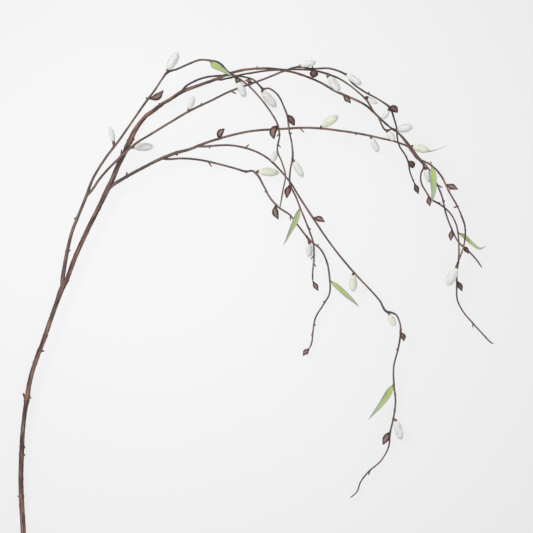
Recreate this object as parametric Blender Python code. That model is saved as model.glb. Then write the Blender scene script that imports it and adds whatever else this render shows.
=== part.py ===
"""Willow twig: a cut weeping branch of pussy willow with catkins, buds and a few leaves.

The branch lies on a flat surface, which it touches at three small flats: the cut end of the stem,
the upper bend of the stem and the tip of the right hanging twig.

Places are (x, y, height). x runs right and y runs down the branch, in steps of GRID_STEP, from the
upper left corner of a square laid over the branch. Height is in millimetres above the surface. A
station of a stem has the stem's width in millimetres as its fourth number.
"""

import math

import bmesh
import bpy
import numpy as np
from mathutils import Vector

GRID_STEP = 0.0013
MM = 0.001
CENTRE_X = 256.3
CENTRE_Y = 320.8

TOUCH_GAP = 0.0003
MERGE_DISTANCE = 0.00008
SLIVER_HEIGHT = 0.00003
FINE_STEP = 0.0004
LONGEST_STEP = 0.0135
SHORTEST_STEP = 0.003
TURN_PER_RING = math.radians(13)
END_RING = 0.0012

TWIG_SIDES = 6
STEM_SIDES = 8

CATKIN_SEGMENTS = 10
CATKIN_RINGS = 8
CATKIN_WIDEST = 0.45
CATKIN_HALF_SPAN = 0.57
TUFT_RELIEF = 0.08
CAP_WIDTH = 0.66
CAP_ELBOW = 0.5
CAP_DEPTH = 0.0015
CAP_RIM = 0.0004

LEAF_ROWS = 9
LEAF_THICKNESS = 0.0007
LEAF_CAMBER = 0.1
LEAF_FOOT_WIDTH = 0.0013
LEAF_TIP_WIDTH = 0.0007
PETIOLE_WIDTH = 0.0018

BARK = {
    "main_stem": (0.30, 0.23, 0.18),
    "outer_arch_twig": (0.27, 0.20, 0.16),
    "inner_arch_twig": (0.24, 0.17, 0.15),
    "lower_branch": (0.28, 0.21, 0.16),
    "long_hanging_twig": (0.25, 0.17, 0.16),
    "low_hanging_twig": (0.22, 0.16, 0.15),
    "middle_hanging_twig": (0.22, 0.16, 0.14),
    "right_hanging_twig": (0.23, 0.16, 0.14),
}
SILK = (0.78, 0.79, 0.74)
LEAF_GREEN = (0.38, 0.52, 0.17)

ROUTES = {
    "main_stem": (
        (22.7, 587, 3.1, 6.9), (22.8, 533, 5, 6.8), (21.2, 505, 6, 6.7), (20.5, 475, 7.5, 6.6),
        (21.2, 453, 8.5, 6.4), (22.5, 430, 9.5, 5.9), (24.8, 410, 10.2, 5.9), (26.8, 398, 10.8, 7.2),
        (28.2, 388, 11.2, 6.3), (32.5, 370, 12, 6), (37.6, 355, 12.6, 6), (43.5, 340, 13, 6),
        (50.3, 320, 13.6, 6), (57.5, 300, 14, 6.2), (61.5, 289, 14.2, 7.2), (66.3, 280, 14.4, 6.2),
        (73.8, 260, 14.8, 6), (87.3, 230, 15.2, 6.1), (102.3, 200, 15, 6.3), (106, 192, 14.8, 6.9),
        (111, 182, 14.2, 6.5), (119, 163, 11.9, 6.6), (125, 151, 9.6, 6.8), (129.5, 141, 7.2, 7.2),
        (134.3, 131, 5, 6.6), (141, 121, 3, 5.6), (146, 115.5, 2.45, 5.4), (155, 109, 3.4, 5.2),
        (163, 103, 5.8, 4.7), (170, 99, 8.2, 4.5), (181, 92, 11.8, 4.8), (200, 84.8, 16.6, 4),
        (217, 78.8, 20.4, 4), (228, 74, 22.6, 3.6), (240, 70.7, 24.6, 3.3), (257, 68.7, 26.6, 3.1),
        (280, 69.7, 28.2, 3), (300, 74.5, 28.8, 3), (320, 82.5, 29, 2.9), (337, 92, 29, 3),
        (350, 97.5, 29, 2.9), (365, 105, 28.8, 2.8), (380, 118.5, 28, 2.8), (390, 127.5, 27.2, 2.8),
        (398, 133, 26.6, 2.7), (411, 147.5, 26.8, 2.6), (421, 160, 27.4, 2.5), (430, 164.5, 28, 2.5),
        (440, 174.5, 28.6, 2.5), (448.5, 191, 28, 2.4), (459, 210, 26, 2.3), (465.3, 230, 23.4, 2.2),
        (465.2, 237, 21.8, 2.1), (463, 249, 16.5, 2.1), (459, 260, 11, 2), (455, 270, 8.8, 1.9),
        (451.5, 285.5, 7, 1.5),
    ),
    "outer_arch_twig": (
        (61.8, 290, 14.2, 4.6), (62.3, 280, 15.6, 5.4), (63.8, 270, 17, 5.3), (67.5, 250, 19.4, 4.8),
        (72.6, 230, 21, 4.3), (77.6, 217.5, 21.6, 4.2), (80.7, 210, 21.8, 3.9),
        (86.3, 196.3, 22.4, 4.2), (92.4, 180, 23.4, 3.4), (104.3, 160, 25.2, 3.2),
        (119.5, 140, 27.8, 3), (133.5, 120, 30, 2.8), (147.6, 100, 32.4, 3), (155.2, 90, 33.6, 2.7),
        (161.9, 80, 34.8, 2.6), (167.3, 72.9, 36, 3.2), (177, 69.6, 37, 2.7), (190, 63.9, 38.2, 2.6),
        (200, 60.4, 39, 2.6), (209, 60.8, 39.6, 2.6), (219, 63.1, 40, 2.6), (228.4, 72.3, 40.4, 2.5),
        (236, 77, 40.4, 2.8), (247.7, 85.4, 39.8, 2.4), (259.8, 97.9, 38.6, 2.3),
        (269.8, 111, 37.6, 2.2), (277.8, 125.4, 36.4, 2.4), (279.5, 135, 35.4, 2.2),
        (277.3, 150, 34, 2.1), (282.3, 163.5, 32.6, 2), (285.4, 175, 31.4, 2), (283, 190, 30, 1.9),
        (279.8, 208.5, 28, 1.6),
    ),
    "inner_arch_twig": (
        (86.3, 196.4, 22.4, 3.4), (92, 190, 22.4, 3.3), (98.8, 180, 22.2, 3.2),
        (107.2, 170, 21.8, 3.1), (117.3, 160, 21.4, 3.1), (129, 149, 21.2, 3),
        (136, 143.3, 21.2, 2.9), (150, 134.7, 21.8, 2.8), (170, 122.5, 23.6, 2.8),
        (190, 110.8, 25.4, 3), (210, 101.3, 27.2, 2.7), (229, 92, 29, 2.7), (249, 84.6, 31.4, 2.7),
        (265, 79, 35.4, 2.5), (275, 75, 38.8, 2.5), (284, 71.5, 41.4, 2.5), (299, 67.5, 44, 2.7),
        (311, 69.3, 44.8, 2.6), (330, 69.2, 45.4, 2.4), (340, 72.3, 45.6, 2.4),
        (345.5, 75.2, 45.6, 2.6), (352, 83.5, 45, 2.3), (363, 91.5, 44.2, 2.4), (380, 101, 43, 2.3),
        (389, 107.5, 41, 2.8), (394, 119, 31, 2.2), (396.8, 129, 20.5, 2.1),
        (397.5, 138.3, 14.5, 2.1), (400, 146.7, 12.6, 2.1), (405, 154.2, 11.8, 2.1),
        (408, 160.5, 11.4, 2.3), (410.4, 172.5, 10.4, 2), (415, 183.8, 9.4, 2),
    ),
    "lower_branch": (
        (106.3, 191.3, 14.7, 4.4), (112, 185.5, 14.6, 4.4), (120, 180.3, 14.4, 4.3),
        (130, 174.5, 14.2, 4.1), (145, 166.5, 14.2, 4), (160, 159, 14.4, 4.2),
        (176, 152.8, 14.8, 4.3), (190, 149, 15.2, 3.7), (197.5, 146, 15.6, 3.8),
        (210, 141.3, 16.4, 3.3), (220, 138.3, 17, 3.3), (230, 135.5, 17.8, 3.1),
        (250, 131.3, 19.2, 3), (280, 129, 20.8, 2.9), (310, 127.8, 21.8, 2.9),
        (340, 130.7, 22.2, 2.8), (360, 133.8, 22.2, 2.8), (380, 138, 21.8, 2.6),
        (398, 142.5, 21.2, 2.5), (409, 147.5, 20.8, 2.5), (416, 157.5, 20.4, 2.3),
        (425, 164.5, 19.8, 2.3), (435.5, 181, 18, 2.3), (442, 196, 16.2, 2.3),
        (446, 213, 14, 2.2), (452, 229, 12, 2.1), (460, 243.5, 10.4, 2.1),
        (466, 248.5, 9.8, 2.2), (475, 257.5, 9, 2), (483, 268.5, 8, 1.6),
    ),
    "long_hanging_twig": (
        (197, 146.2, 15.6, 2.8), (203, 146.5, 15.8, 2.8), (210, 146, 16, 2.8), (220, 145.2, 16.4, 2.6),
        (230, 145.2, 16.8, 2.6), (245, 147.8, 17.6, 2.7), (260, 153.5, 18.8, 2.5),
        (268, 158.5, 19.4, 2.6), (280, 170, 20, 2.5), (290, 182, 20, 2.5), (300, 198, 20, 2.4),
        (313, 218, 19.6, 2.8), (330, 243, 19, 2.4), (350, 268, 18, 2.6), (360, 279, 17.4, 2.4),
        (380, 301, 15.8, 2.4), (387.5, 312, 15.2, 3), (391.5, 312.6, 15, 2.8), (395, 314, 14.8, 2.4),
        (400, 323, 14.4, 2.2), (400.6, 334, 14, 2.6), (398, 350, 13.4, 2.3), (394, 366, 12.8, 2.2),
        (394, 384, 12.2, 2.5), (395.7, 402, 11.4, 2.3), (393.5, 419, 10.4, 2.5),
        (390.5, 432, 9.6, 2.4), (388.5, 448, 8.6, 2), (382, 460, 7.8, 2), (367, 474, 6.6, 2),
        (360.5, 483, 5.8, 1.9), (357, 492.5, 5.2, 1.8), (350.5, 498.3, 4.6, 1.5),
    ),
    "low_hanging_twig": (
        (161, 158.6, 14.4, 2.8), (170, 159, 13, 2.8), (180, 158.3, 11.8, 2.7), (200, 159.8, 9.8, 2.7),
        (220, 164.2, 8.8, 2.6), (236, 168.5, 8.4, 2.5), (246, 171.3, 8.4, 2.8),
        (253, 170.9, 8.6, 2.7), (257, 174.3, 8.6, 3), (263, 184.5, 8.4, 2.4), (270, 197.5, 8.4, 2.4),
        (279, 207.5, 8.4, 2.7), (290, 215, 8.6, 2.4), (297, 224, 9, 2.3), (312, 242, 9.4, 2.3),
        (320, 248.5, 9.4, 2.3), (325.5, 258, 9.2, 2.2), (329.7, 278, 8.6, 2.4), (329.5, 294, 8, 2.2),
        (323, 305.5, 7.4, 2.1), (316, 317, 7, 2.1), (313, 332, 6.6, 2.1), (311.5, 344, 6.2, 2),
        (309, 349.5, 6, 2),
    ),
    "middle_hanging_twig": (
        (181, 91.8, 11.8, 2.8), (186, 86, 12.6, 2.8), (195, 80.8, 13.2, 2.7), (205, 77.2, 13.8, 2.6),
        (218, 75.6, 14.4, 2.5), (233, 75.3, 15, 2.5), (245, 77, 15.8, 2.4), (254, 80, 16.6, 2.4),
        (260, 86, 17.4, 2.6), (263, 88.8, 17.8, 2.9), (268, 88.2, 18.4, 2.4), (276, 93, 19.8, 2.3),
        (284, 107, 22.6, 2.3), (287.3, 116, 24.2, 2.6), (289, 130, 26.6, 2.3), (292, 145, 27.4, 2.3),
        (292.6, 158, 27.2, 2.8), (290.3, 170, 26.4, 2.3), (290, 184, 25.2, 2.6),
        (296, 197, 23.8, 2.3), (301, 210, 22.6, 2.4), (308.5, 228.5, 20.8, 2.4),
        (313.3, 243, 19.2, 2.3), (313.9, 260, 17, 2.4), (312.6, 275, 15, 2.1), (313, 282, 14.2, 2.2),
    ),
    "right_hanging_twig": (
        (216, 79.2, 20.2, 2.6), (221, 79.7, 22.6, 2.6), (226, 78.7, 25, 2.5), (232, 77.6, 27.6, 2.4),
        (240, 75.2, 30.6, 2.4), (250, 73.5, 33, 2.4), (265, 71.2, 35, 2.4), (285, 70, 36.2, 2.3),
        (300, 69.8, 36.6, 2.3), (313, 70.8, 36.6, 2.4), (327, 74.2, 36.4, 2.7), (340, 79.5, 36, 2.3),
        (350, 86, 35.8, 2.2), (358, 92.5, 35.6, 2.2), (366, 100, 35.6, 2.5), (373, 111, 35.6, 2.2),
        (378, 117.5, 35.6, 2.2), (386.3, 130.6, 35.4, 2.7), (393.5, 129.2, 35.4, 2.3),
        (399, 134.5, 35.2, 2.2), (405, 142, 35, 2.2), (411.5, 152, 34.6, 2.2), (418, 159, 34, 2.2),
        (423.6, 167, 33, 2.6), (421, 173, 32, 2.2), (420.7, 181, 30.8, 2.1), (426, 192, 28.6, 2.2),
        (431, 199, 27, 2.5), (440, 204.5, 24.8, 2.2), (450, 213, 22.6, 2.1), (456, 224, 21.4, 2.1),
        (458.7, 240, 20, 2.1), (458.6, 260, 18, 2.4), (457.2, 272, 16, 2.1), (457, 285, 13.6, 2.3),
        (457.7, 300, 10.4, 2), (463, 311, 7.8, 2), (473, 323, 5, 2.1), (485, 336, 2.2, 1.9),
        (491, 342.2, 1.1, 1.8), (495, 344.5, 0.72, 1.7),
    ),
}

# Each side shoot, the stem it grows from and the length of its root collar in millimetres
FORKS = {
    "outer_arch_twig": ("main_stem", 32),
    "inner_arch_twig": ("outer_arch_twig", 19),
    "lower_branch": ("main_stem", 21),
    "long_hanging_twig": ("lower_branch", 14),
    "low_hanging_twig": ("lower_branch", 15),
    "middle_hanging_twig": ("main_stem", 11),
    "right_hanging_twig": ("main_stem", 15),
}

# Each catkin's stem, its foot on that stem (x, y), its base, its tip and its width in millimetres
CATKINS = (
    ("outer_arch_twig", (113.3, 147.8), (113.5, 141, 27.5), (110.5, 128.5, 29), 7.8),
    ("outer_arch_twig", (167.3, 72.9), (168.5, 69.3, 38.8), (177.5, 54.5, 41.2), 11),
    ("main_stem", (127, 147), (134.5, 147, 9.4), (151.5, 146.5, 10), 11.7),
    ("inner_arch_twig", (188.3, 111.8), (188.9, 108.6, 27.4), (193.5, 98, 28.8), 9.1),
    ("outer_arch_twig", (236, 77), (238.6, 82.4, 38.6), (244.5, 96.5, 37), 10.4),
    ("middle_hanging_twig", (262.5, 88.6), (263, 92.2, 18), (275, 106, 19.6), 11.7),
    ("inner_arch_twig", (299, 67.5), (301, 66, 48.2), (314.5, 63.2, 51.4), 8.5),
    ("right_hanging_twig", (327.5, 74.4), (329, 77.6, 39.8), (338.5, 91, 41), 11.5),
    ("inner_arch_twig", (345, 75), (346.9, 75.6, 50.8), (360, 84.5, 53.4), 9.1),
    ("right_hanging_twig", (364.5, 98.4), (368, 98.6, 37), (376, 103.5, 39), 6.5),
    ("inner_arch_twig", (389, 107.7), (388, 111.5, 42.5), (383, 118.5, 44.5), 7.8),
    ("right_hanging_twig", (386.3, 130.6), (387.8, 132.6, 35.8), (393.5, 140, 36.4), 9.1),
    ("main_stem", (393, 129.6), (397.8, 129.8, 28.8), (411.5, 127.2, 28.6), 10.2),
    ("main_stem", (410.5, 147), (413.3, 147, 29.6), (427.5, 150.5, 31), 9.7),
    ("right_hanging_twig", (423.6, 167.2), (425.9, 169.9, 31.9), (429.4, 181.5, 28.4), 9.1),
    ("lower_branch", (320, 128.5), (322.2, 126, 24.2), (337, 117, 26), 10.2),
    ("lower_branch", (370.5, 136.2), (371.6, 139, 22), (378, 151, 21), 9.1),
    ("low_hanging_twig", (256, 172.8), (259.3, 171.2, 9.4), (277.5, 172.5, 9.6), 11.7),
    ("long_hanging_twig", (272.4, 162.8), (272.6, 160.8, 24.6), (276.5, 152, 28.4), 9.1),
    ("middle_hanging_twig", (292.6, 158.5), (294.5, 162.2, 28.4), (302.4, 176, 28.6), 9.1),
    ("low_hanging_twig", (306.5, 236), (309.6, 244.5, 9.2), (309.5, 256, 9), 9.1),
    ("long_hanging_twig", (354, 272.3), (353, 275.6, 15.6), (353.6, 290.5, 14.6), 9.7),
    ("long_hanging_twig", (388.5, 312.4), (389.6, 315.4, 15), (394.5, 325, 14.6), 8.5),
    ("long_hanging_twig", (393.5, 419), (396.6, 421.8, 11.8), (401, 438.5, 10.4), 9.7),
    ("right_hanging_twig", (458.4, 262.5), (456, 268.5, 20.6), (448.5, 284, 22), 11.7),
)

# Each bud's stem, its foot, its belly, its tip and its width in millimetres
BUDS = (
    ("outer_arch_twig", (148.6, 98.8), (156, 97.4, 32.8), (163.8, 90.5, 33.4), 7.8),
    ("lower_branch", (219, 138.4), (220.4, 133.4, 17.6), (224.5, 128.5, 18.6), 6.6),
    ("outer_arch_twig", (278, 126), (273.8, 131, 36.6), (274, 139.5, 36.4), 7.4),
    ("middle_hanging_twig", (287.2, 115), (290.6, 120, 25), (294.5, 126, 26.4), 6.8),
    ("middle_hanging_twig", (290, 184.6), (288, 191, 24.6), (286.7, 198.5, 24), 7.4),
    ("low_hanging_twig", (276, 204.6), (275.4, 211, 8.2), (278.5, 219.5, 8), 7.4),
    ("long_hanging_twig", (313, 218), (319, 219, 19.6), (325, 222, 19.6), 6.6),
    ("middle_hanging_twig", (313, 281.4), (315.4, 286, 13.8), (318.3, 291, 13.4), 5.6),
    ("low_hanging_twig", (309.4, 348.8), (306.2, 352.2, 5.8), (303, 356, 5.6), 6),
    ("long_hanging_twig", (400.6, 332), (403.2, 337, 14), (404, 341.5, 14), 6),
    ("long_hanging_twig", (390.4, 432.4), (387.4, 438, 9.2), (383, 445, 8.6), 7),
    ("inner_arch_twig", (313, 69.4), (313.4, 73.8, 45.4), (313.2, 78.4, 45.8), 8.4),
    ("main_stem", (343, 94.2), (347, 98.6, 29.6), (350.8, 103.5, 30), 6.4),
    ("inner_arch_twig", (389, 107.4), (393.4, 109.6, 41.6), (397.5, 113, 41.8), 7.4),
    ("inner_arch_twig", (408.2, 161), (411.8, 164.4, 11.4), (413.5, 168, 11.2), 6.6),
    ("inner_arch_twig", (414.8, 183.2), (417, 188.4, 9.2), (418.7, 194, 9), 6),
    ("main_stem", (445.8, 184.6), (451.6, 187, 28.8), (458, 189.5, 28.8), 6.6),
    ("right_hanging_twig", (428.6, 195.8), (429, 201.4, 27), (430, 206.4, 26.6), 5.6),
    ("lower_branch", (452.3, 229.6), (451.6, 235, 12), (451, 241, 11.6), 5.8),
    ("lower_branch", (463, 246), (466.6, 249.4, 11.8), (469, 253.8, 12.4), 5.4),
    ("right_hanging_twig", (457.1, 280.6), (459.8, 286, 14), (462.5, 291.4, 13.4), 6),
    ("inner_arch_twig", (252.6, 83.4), (249.4, 81.4, 32.4), (244.6, 80.4, 33), 4),
    ("inner_arch_twig", (252.8, 83.2), (250.6, 84.6, 32.6), (247.6, 82.8, 34), 3),
)

# Small spurs, scars and old leaf bases: a foot and an end in the plan, and a width in millimetres
SPURS = {
    "main_stem": (
        (25.6, 401, 22.8, 393.4, 4), (27, 397, 31, 398.4, 3.6), (40.4, 352, 44, 351, 3),
        (44.6, 336.6, 48, 335.4, 3), (65.2, 282.4, 68.8, 280.6, 3.2), (21, 497, 17.2, 496.6, 3),
        (21.3, 455, 24.8, 455.4, 4), (21.6, 447, 24.8, 448, 3.4), (129.6, 141, 134.4, 138.6, 3.6),
        (160.6, 104.8, 158.4, 103, 3.2), (257, 68.7, 257, 66, 1.8), (430, 164.5, 431.2, 161.8, 2),
        (448.2, 190.4, 449.6, 189.6, 2.6), (457.4, 206.8, 453.4, 207.6, 2), (461.8, 216.4, 460.4, 217, 2.2),
    ),
    "outer_arch_twig": (
        (67.4, 251, 70.4, 250.4, 2.8), (77.4, 218.4, 73.8, 218.6, 3), (279.6, 134, 276.6, 136.8, 1.8),
        (278, 144.4, 280.8, 147.8, 1.8), (148, 99.6, 146, 97.6, 2.6),
    ),
    "inner_arch_twig": (
        (121, 156.6, 121.6, 149.4, 2.2), (201, 105.4, 201.6, 103, 2.2), (231, 91.4, 236.6, 94.2, 2),
        (312, 69.4, 312.8, 66.2, 2), (368, 94.2, 369, 92.4, 2.2),
    ),
    "lower_branch": (
        (126.5, 176.4, 126.8, 171.8, 2.6), (300, 128, 304.2, 132.6, 2), (356, 133.2, 356, 135.4, 2.4),
        (437.4, 185, 442.6, 187.6, 2), (443.2, 200.6, 445.2, 201.4, 2.4), (176, 152.8, 177.4, 155.6, 3.4),
    ),
    "long_hanging_twig": (
        (209.4, 146, 209.6, 148.4, 2.4), (245.4, 147.8, 249, 144.4, 2.2), (400.4, 330, 402.2, 329.6, 2.2),
        (398, 349.6, 396.2, 349.4, 2.2), (394.6, 394, 396.4, 393.8, 2), (395.2, 410, 393.6, 410.6, 2),
        (370.6, 471, 368.4, 475.8, 1.8),
    ),
    "low_hanging_twig": (
        (208, 161.4, 211.6, 166.6, 2.2), (246, 171.3, 246, 173.2, 2.4), (266.4, 191, 264.6, 192, 2.2),
        (290.4, 215.2, 290.4, 220.2, 1.8), (317, 246.2, 319, 244.2, 1.8), (326.8, 264.4, 328.8, 264, 2),
        (326, 301, 322.8, 302.4, 1.8), (314.4, 325, 316, 325.4, 2), (312.6, 335, 311, 335.2, 2),
    ),
    "middle_hanging_twig": (
        (289.8, 133.6, 292, 133, 2.2), (308, 227.4, 311.2, 229.8, 1.8), (313.8, 255.4, 310.8, 259.2, 1.8),
        (313.8, 263.4, 316, 267, 1.8),
    ),
    "right_hanging_twig": (
        (437, 202.8, 440.8, 203, 1.8), (473, 323, 473.6, 328.2, 1.8),
    ),
}

# Each leaf's stem, its foot on that stem (x, y), places along its midrib and its width in millimetres
LEAVES = (
    ("outer_arch_twig", (209.6, 60.8),
     ((211, 63.8, 42.4), (218, 67.6, 44.6), (226, 72.6, 45), (233, 77.5, 44)), 10.4),
    ("middle_hanging_twig", (300.4, 208.2),
     ((299.2, 209.8, 24), (296, 219, 25.2), (290, 232, 24.2), (283.5, 245.5, 21)), 8.5),
    ("low_hanging_twig", (329.7, 280),
     ((331.6, 281.8, 9.4), (340, 289, 12), (350, 298, 12), (359, 306.5, 9.6)), 8.5),
    ("main_stem", (431, 165.3),
     ((431.8, 168, 31), (433, 178, 37), (433.2, 190, 38), (431.5, 203, 35.6)), 9.1),
    ("right_hanging_twig", (458.2, 232.6),
     ((459.8, 233.6, 20), (465, 236.8, 17.4), (471.5, 242.8, 16.4), (480, 248.6, 16),
      (486.5, 246, 15)), 6.5),
    ("long_hanging_twig", (394, 384),
     ((392.6, 386, 12.4), (387, 396, 13.6), (378.4, 408, 12), (368.5, 420, 8)), 10.4),
    ("lower_branch", (409.6, 148.6),
     ((413.6, 149.6, 21.4), (421, 151.6, 20), (434, 150.6, 20.4), (447, 145.3, 22)), 3.4),
)


def place(x, y, height):
    """A place of the grid as a point in metres."""
    return Vector(((x - CENTRE_X) * GRID_STEP, (CENTRE_Y - y) * GRID_STEP, height * MM))


def smooth(rows, spacing):
    """Rows along a smooth curve through the given rows, the first three numbers being a place."""
    gaps = np.linalg.norm(np.diff(rows[:, :3], axis=0), axis=1)
    marks = np.concatenate([[0], np.cumsum(gaps)])
    slopes = np.gradient(rows, marks, axis=0)
    spots = np.linspace(0, marks[-1], max(2, round(marks[-1] / spacing)))
    cell = np.clip(np.searchsorted(marks, spots, side="right") - 1, 0, len(gaps) - 1)
    gap = gaps[cell][:, None]
    t = (spots - marks[cell])[:, None] / gap
    start = (2 * t**3 - 3 * t**2 + 1) * rows[cell] + (t**3 - 2 * t**2 + t) * gap * slopes[cell]
    end = (3 * t**2 - 2 * t**3) * rows[cell + 1] + (t**3 - t**2) * gap * slopes[cell + 1]
    return start + end


class Route:
    """The smooth centre line of a stem, with its radius along the way."""

    def __init__(self, stations):
        rows = np.array([(*place(x, y, height), width * MM / 2) for x, y, height, width in stations])
        self.rows = smooth(rows, FINE_STEP)
        steps = np.linalg.norm(np.diff(self.rows[:, :3], axis=0), axis=1)
        self.marks = np.concatenate([[0], np.cumsum(steps)])
        self.length = self.marks[-1]

    def at(self, mark):
        """The point and the radius at a length along the route."""
        row = [np.interp(mark, self.marks, column) for column in self.rows.T]
        return Vector(row[:3]), row[3]

    def foot(self, x, y):
        """The point and the radius where the route comes nearest to a place in the plan."""
        away = np.linalg.norm(self.rows[:, :2] - np.array(place(x, y, 0))[:2], axis=1)
        row = self.rows[np.argmin(away)]
        return Vector(row[:3]), row[3]

    def rings(self, start, end):
        """Points and radii from one length to another, closer together in the bends."""
        marks = [start, start + END_RING]
        heading = self.at(start + END_RING)[0] - self.at(start)[0]
        for mark in np.arange(start + END_RING, end - END_RING - SHORTEST_STEP, FINE_STEP):
            ahead = self.at(mark + FINE_STEP)[0] - self.at(mark)[0]
            stretch = mark - marks[-1]
            turned = heading.angle(ahead) > TURN_PER_RING
            if stretch > LONGEST_STEP or (turned and stretch > SHORTEST_STEP):
                marks.append(mark)
                heading = ahead
        marks += [end - END_RING, end]
        spots = [self.at(mark) for mark in marks]
        return [point for point, _ in spots], [radius for _, radius in spots]


def new_object(name, data):
    """An object linked to the scene."""
    made = bpy.data.objects.new(name, data)
    bpy.context.scene.collection.objects.link(made)
    return made


def evaluated_mesh(source):
    """The mesh that an object shows with its modifiers."""
    depsgraph = bpy.context.evaluated_depsgraph_get()
    return bpy.data.meshes.new_from_object(source.evaluated_get(depsgraph))


def tube(name, points, radii, sides=TWIG_SIDES):
    """A closed round solid along the points."""
    curve = bpy.data.curves.new(name, "CURVE")
    curve.dimensions = "3D"
    curve.bevel_depth = 1
    curve.bevel_resolution = (sides - 4) // 2
    curve.use_fill_caps = True
    spline = curve.splines.new("POLY")
    spline.points.add(len(points) - 1)
    for spot, point, radius in zip(spline.points, points, radii):
        spot.co = (*point, 1)
        spot.radius = radius
    guide = new_object(name + "_guide", curve)
    mesh = evaluated_mesh(guide)
    bpy.data.objects.remove(guide)
    shape = bmesh.new()
    shape.from_mesh(mesh)
    bmesh.ops.remove_doubles(shape, verts=shape.verts, dist=MM / 1000)
    bmesh.ops.recalc_face_normals(shape, faces=shape.faces)
    shape.to_mesh(mesh)
    shape.free()
    return new_object(name, mesh)


def root_collar(child):
    """The start of a side shoot, which is one piece with the stem it grows from."""
    route = STEMS[child]
    points, radii = route.rings(0, FORKS[child][1] * MM)
    return tube(child + "_collar", points, radii)


def catkin_cap(number):
    """The brown scale that a catkin sits in, from inside the stem round to its flat end."""
    owner, foot, base, tip, width = CATKINS[number]
    root, radius = STEMS[owner].foot(*foot)
    end = place(*base)
    lean = (place(*tip) - end).normalized()
    elbow = end - CAP_ELBOW * (end - root).length * lean
    lip = CAP_WIDTH * width * MM / 2
    bend = root.lerp(elbow, 0.35).lerp(elbow.lerp(end, 0.35), 0.35)
    points = [root, bend, end - CAP_DEPTH * lean, end - CAP_RIM * lean, end]
    return tube(f"cap_{number}", points, [0.7 * radius, 0.45 * lip, 0.55 * lip, lip, lip])


def bud(number):
    """A pointed bud with its foot inside the stem."""
    owner, foot, belly, tip, width = BUDS[number]
    root, radius = STEMS[owner].foot(*foot)
    middle = place(*belly)
    point = place(*tip)
    half = width * MM / 2
    points = [
        root,
        root.lerp(middle, 0.45),
        middle,
        middle.lerp(point, 0.45),
        middle.lerp(point, 0.8),
        point,
    ]
    return tube(f"bud_{number}", points, [0.5 * radius, 0.7 * half, half, 0.8 * half, 0.42 * half, 0.2 * MM])


def spur(owner, number):
    """A short stub or scar that stands out of a stem."""
    x, y, end_x, end_y, width = SPURS[owner][number]
    root, _ = STEMS[owner].foot(x, y)
    end = place(end_x, end_y, root.z / MM + 0.3)
    half = width * MM / 2
    points = [root, root.lerp(end, 0.6), end]
    return tube(f"spur_{owner}_{number}", points, [half, 0.85 * half, 0.5 * half])


def petiole(number):
    """The foot of a leaf's stalk, up to where the leaf begins."""
    owner, foot, midrib, _ = LEAVES[number]
    root, _ = STEMS[owner].foot(*foot)
    first = place(*midrib[0])
    lean = (place(*midrib[1]) - first).normalized()
    end = first - TOUCH_GAP * lean
    half = PETIOLE_WIDTH / 2
    return tube(f"petiole_{number}", [root, end - MM * lean, end], [half, half, half])


def clear_slivers(shape):
    """Turn the longest edge of each very thin triangle, which gives two fuller ones."""
    for _ in range(4):
        for face in list(shape.faces):
            if not face.is_valid:
                continue
            longest = max(face.edges, key=bmesh.types.BMEdge.calc_length)
            if 2 * face.calc_area() < SLIVER_HEIGHT * longest.calc_length():
                bmesh.utils.edge_rotate(longest, False)


def fuse(body, extras):
    """Join the extras to the body with one Boolean union, and clear its slivers."""
    group = bpy.data.collections.new(body.name + "_extras")
    bpy.context.scene.collection.children.link(group)
    for extra in extras:
        group.objects.link(extra)
    union = body.modifiers.new("Union", "BOOLEAN")
    union.operation = "UNION"
    union.operand_type = "COLLECTION"
    union.collection = group
    union.solver = "MANIFOLD"
    joined = evaluated_mesh(body)
    body.modifiers.remove(union)
    body.data = joined
    for extra in extras:
        bpy.data.objects.remove(extra)
    bpy.data.collections.remove(group)
    shape = bmesh.new()
    shape.from_mesh(joined)
    bmesh.ops.remove_doubles(shape, verts=shape.verts, dist=MERGE_DISTANCE)
    bmesh.ops.dissolve_degenerate(shape, dist=MERGE_DISTANCE / 2, edges=shape.edges)
    bmesh.ops.triangulate(shape, faces=shape.faces)
    clear_slivers(shape)
    shape.to_mesh(joined)
    shape.free()


def trim_at_surface(body):
    """Cut off what reaches below the surface, which leaves the small flats that the branch lies on."""
    shape = bmesh.new()
    shape.from_mesh(body.data)
    everything = shape.verts[:] + shape.edges[:] + shape.faces[:]
    bmesh.ops.bisect_plane(
        shape, geom=everything, dist=MM / 10000, plane_co=(0, 0, 0), plane_no=(0, 0, -1), clear_outer=True
    )
    rims = [edge for edge in shape.edges if edge.is_boundary]
    bmesh.ops.holes_fill(shape, edges=rims, sides=0)
    bmesh.ops.recalc_face_normals(shape, faces=shape.faces)
    shape.to_mesh(body.data)
    shape.free()


def finish(body, colour, roughness, sharp_angle=40):
    """Smooth shading and the piece's own material."""
    body.data.shade_smooth()
    body.data.set_sharp_from_angle(angle=math.radians(sharp_angle))
    material = bpy.data.materials.new(body.name + "_finish")
    material.use_nodes = True
    shader = material.node_tree.nodes["Principled BSDF"]
    shader.inputs["Base Color"].default_value = (*colour, 1)
    shader.inputs["Roughness"].default_value = roughness
    shader.inputs["Metallic"].default_value = 0
    body.data.materials.clear()
    body.data.materials.append(material)


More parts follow.
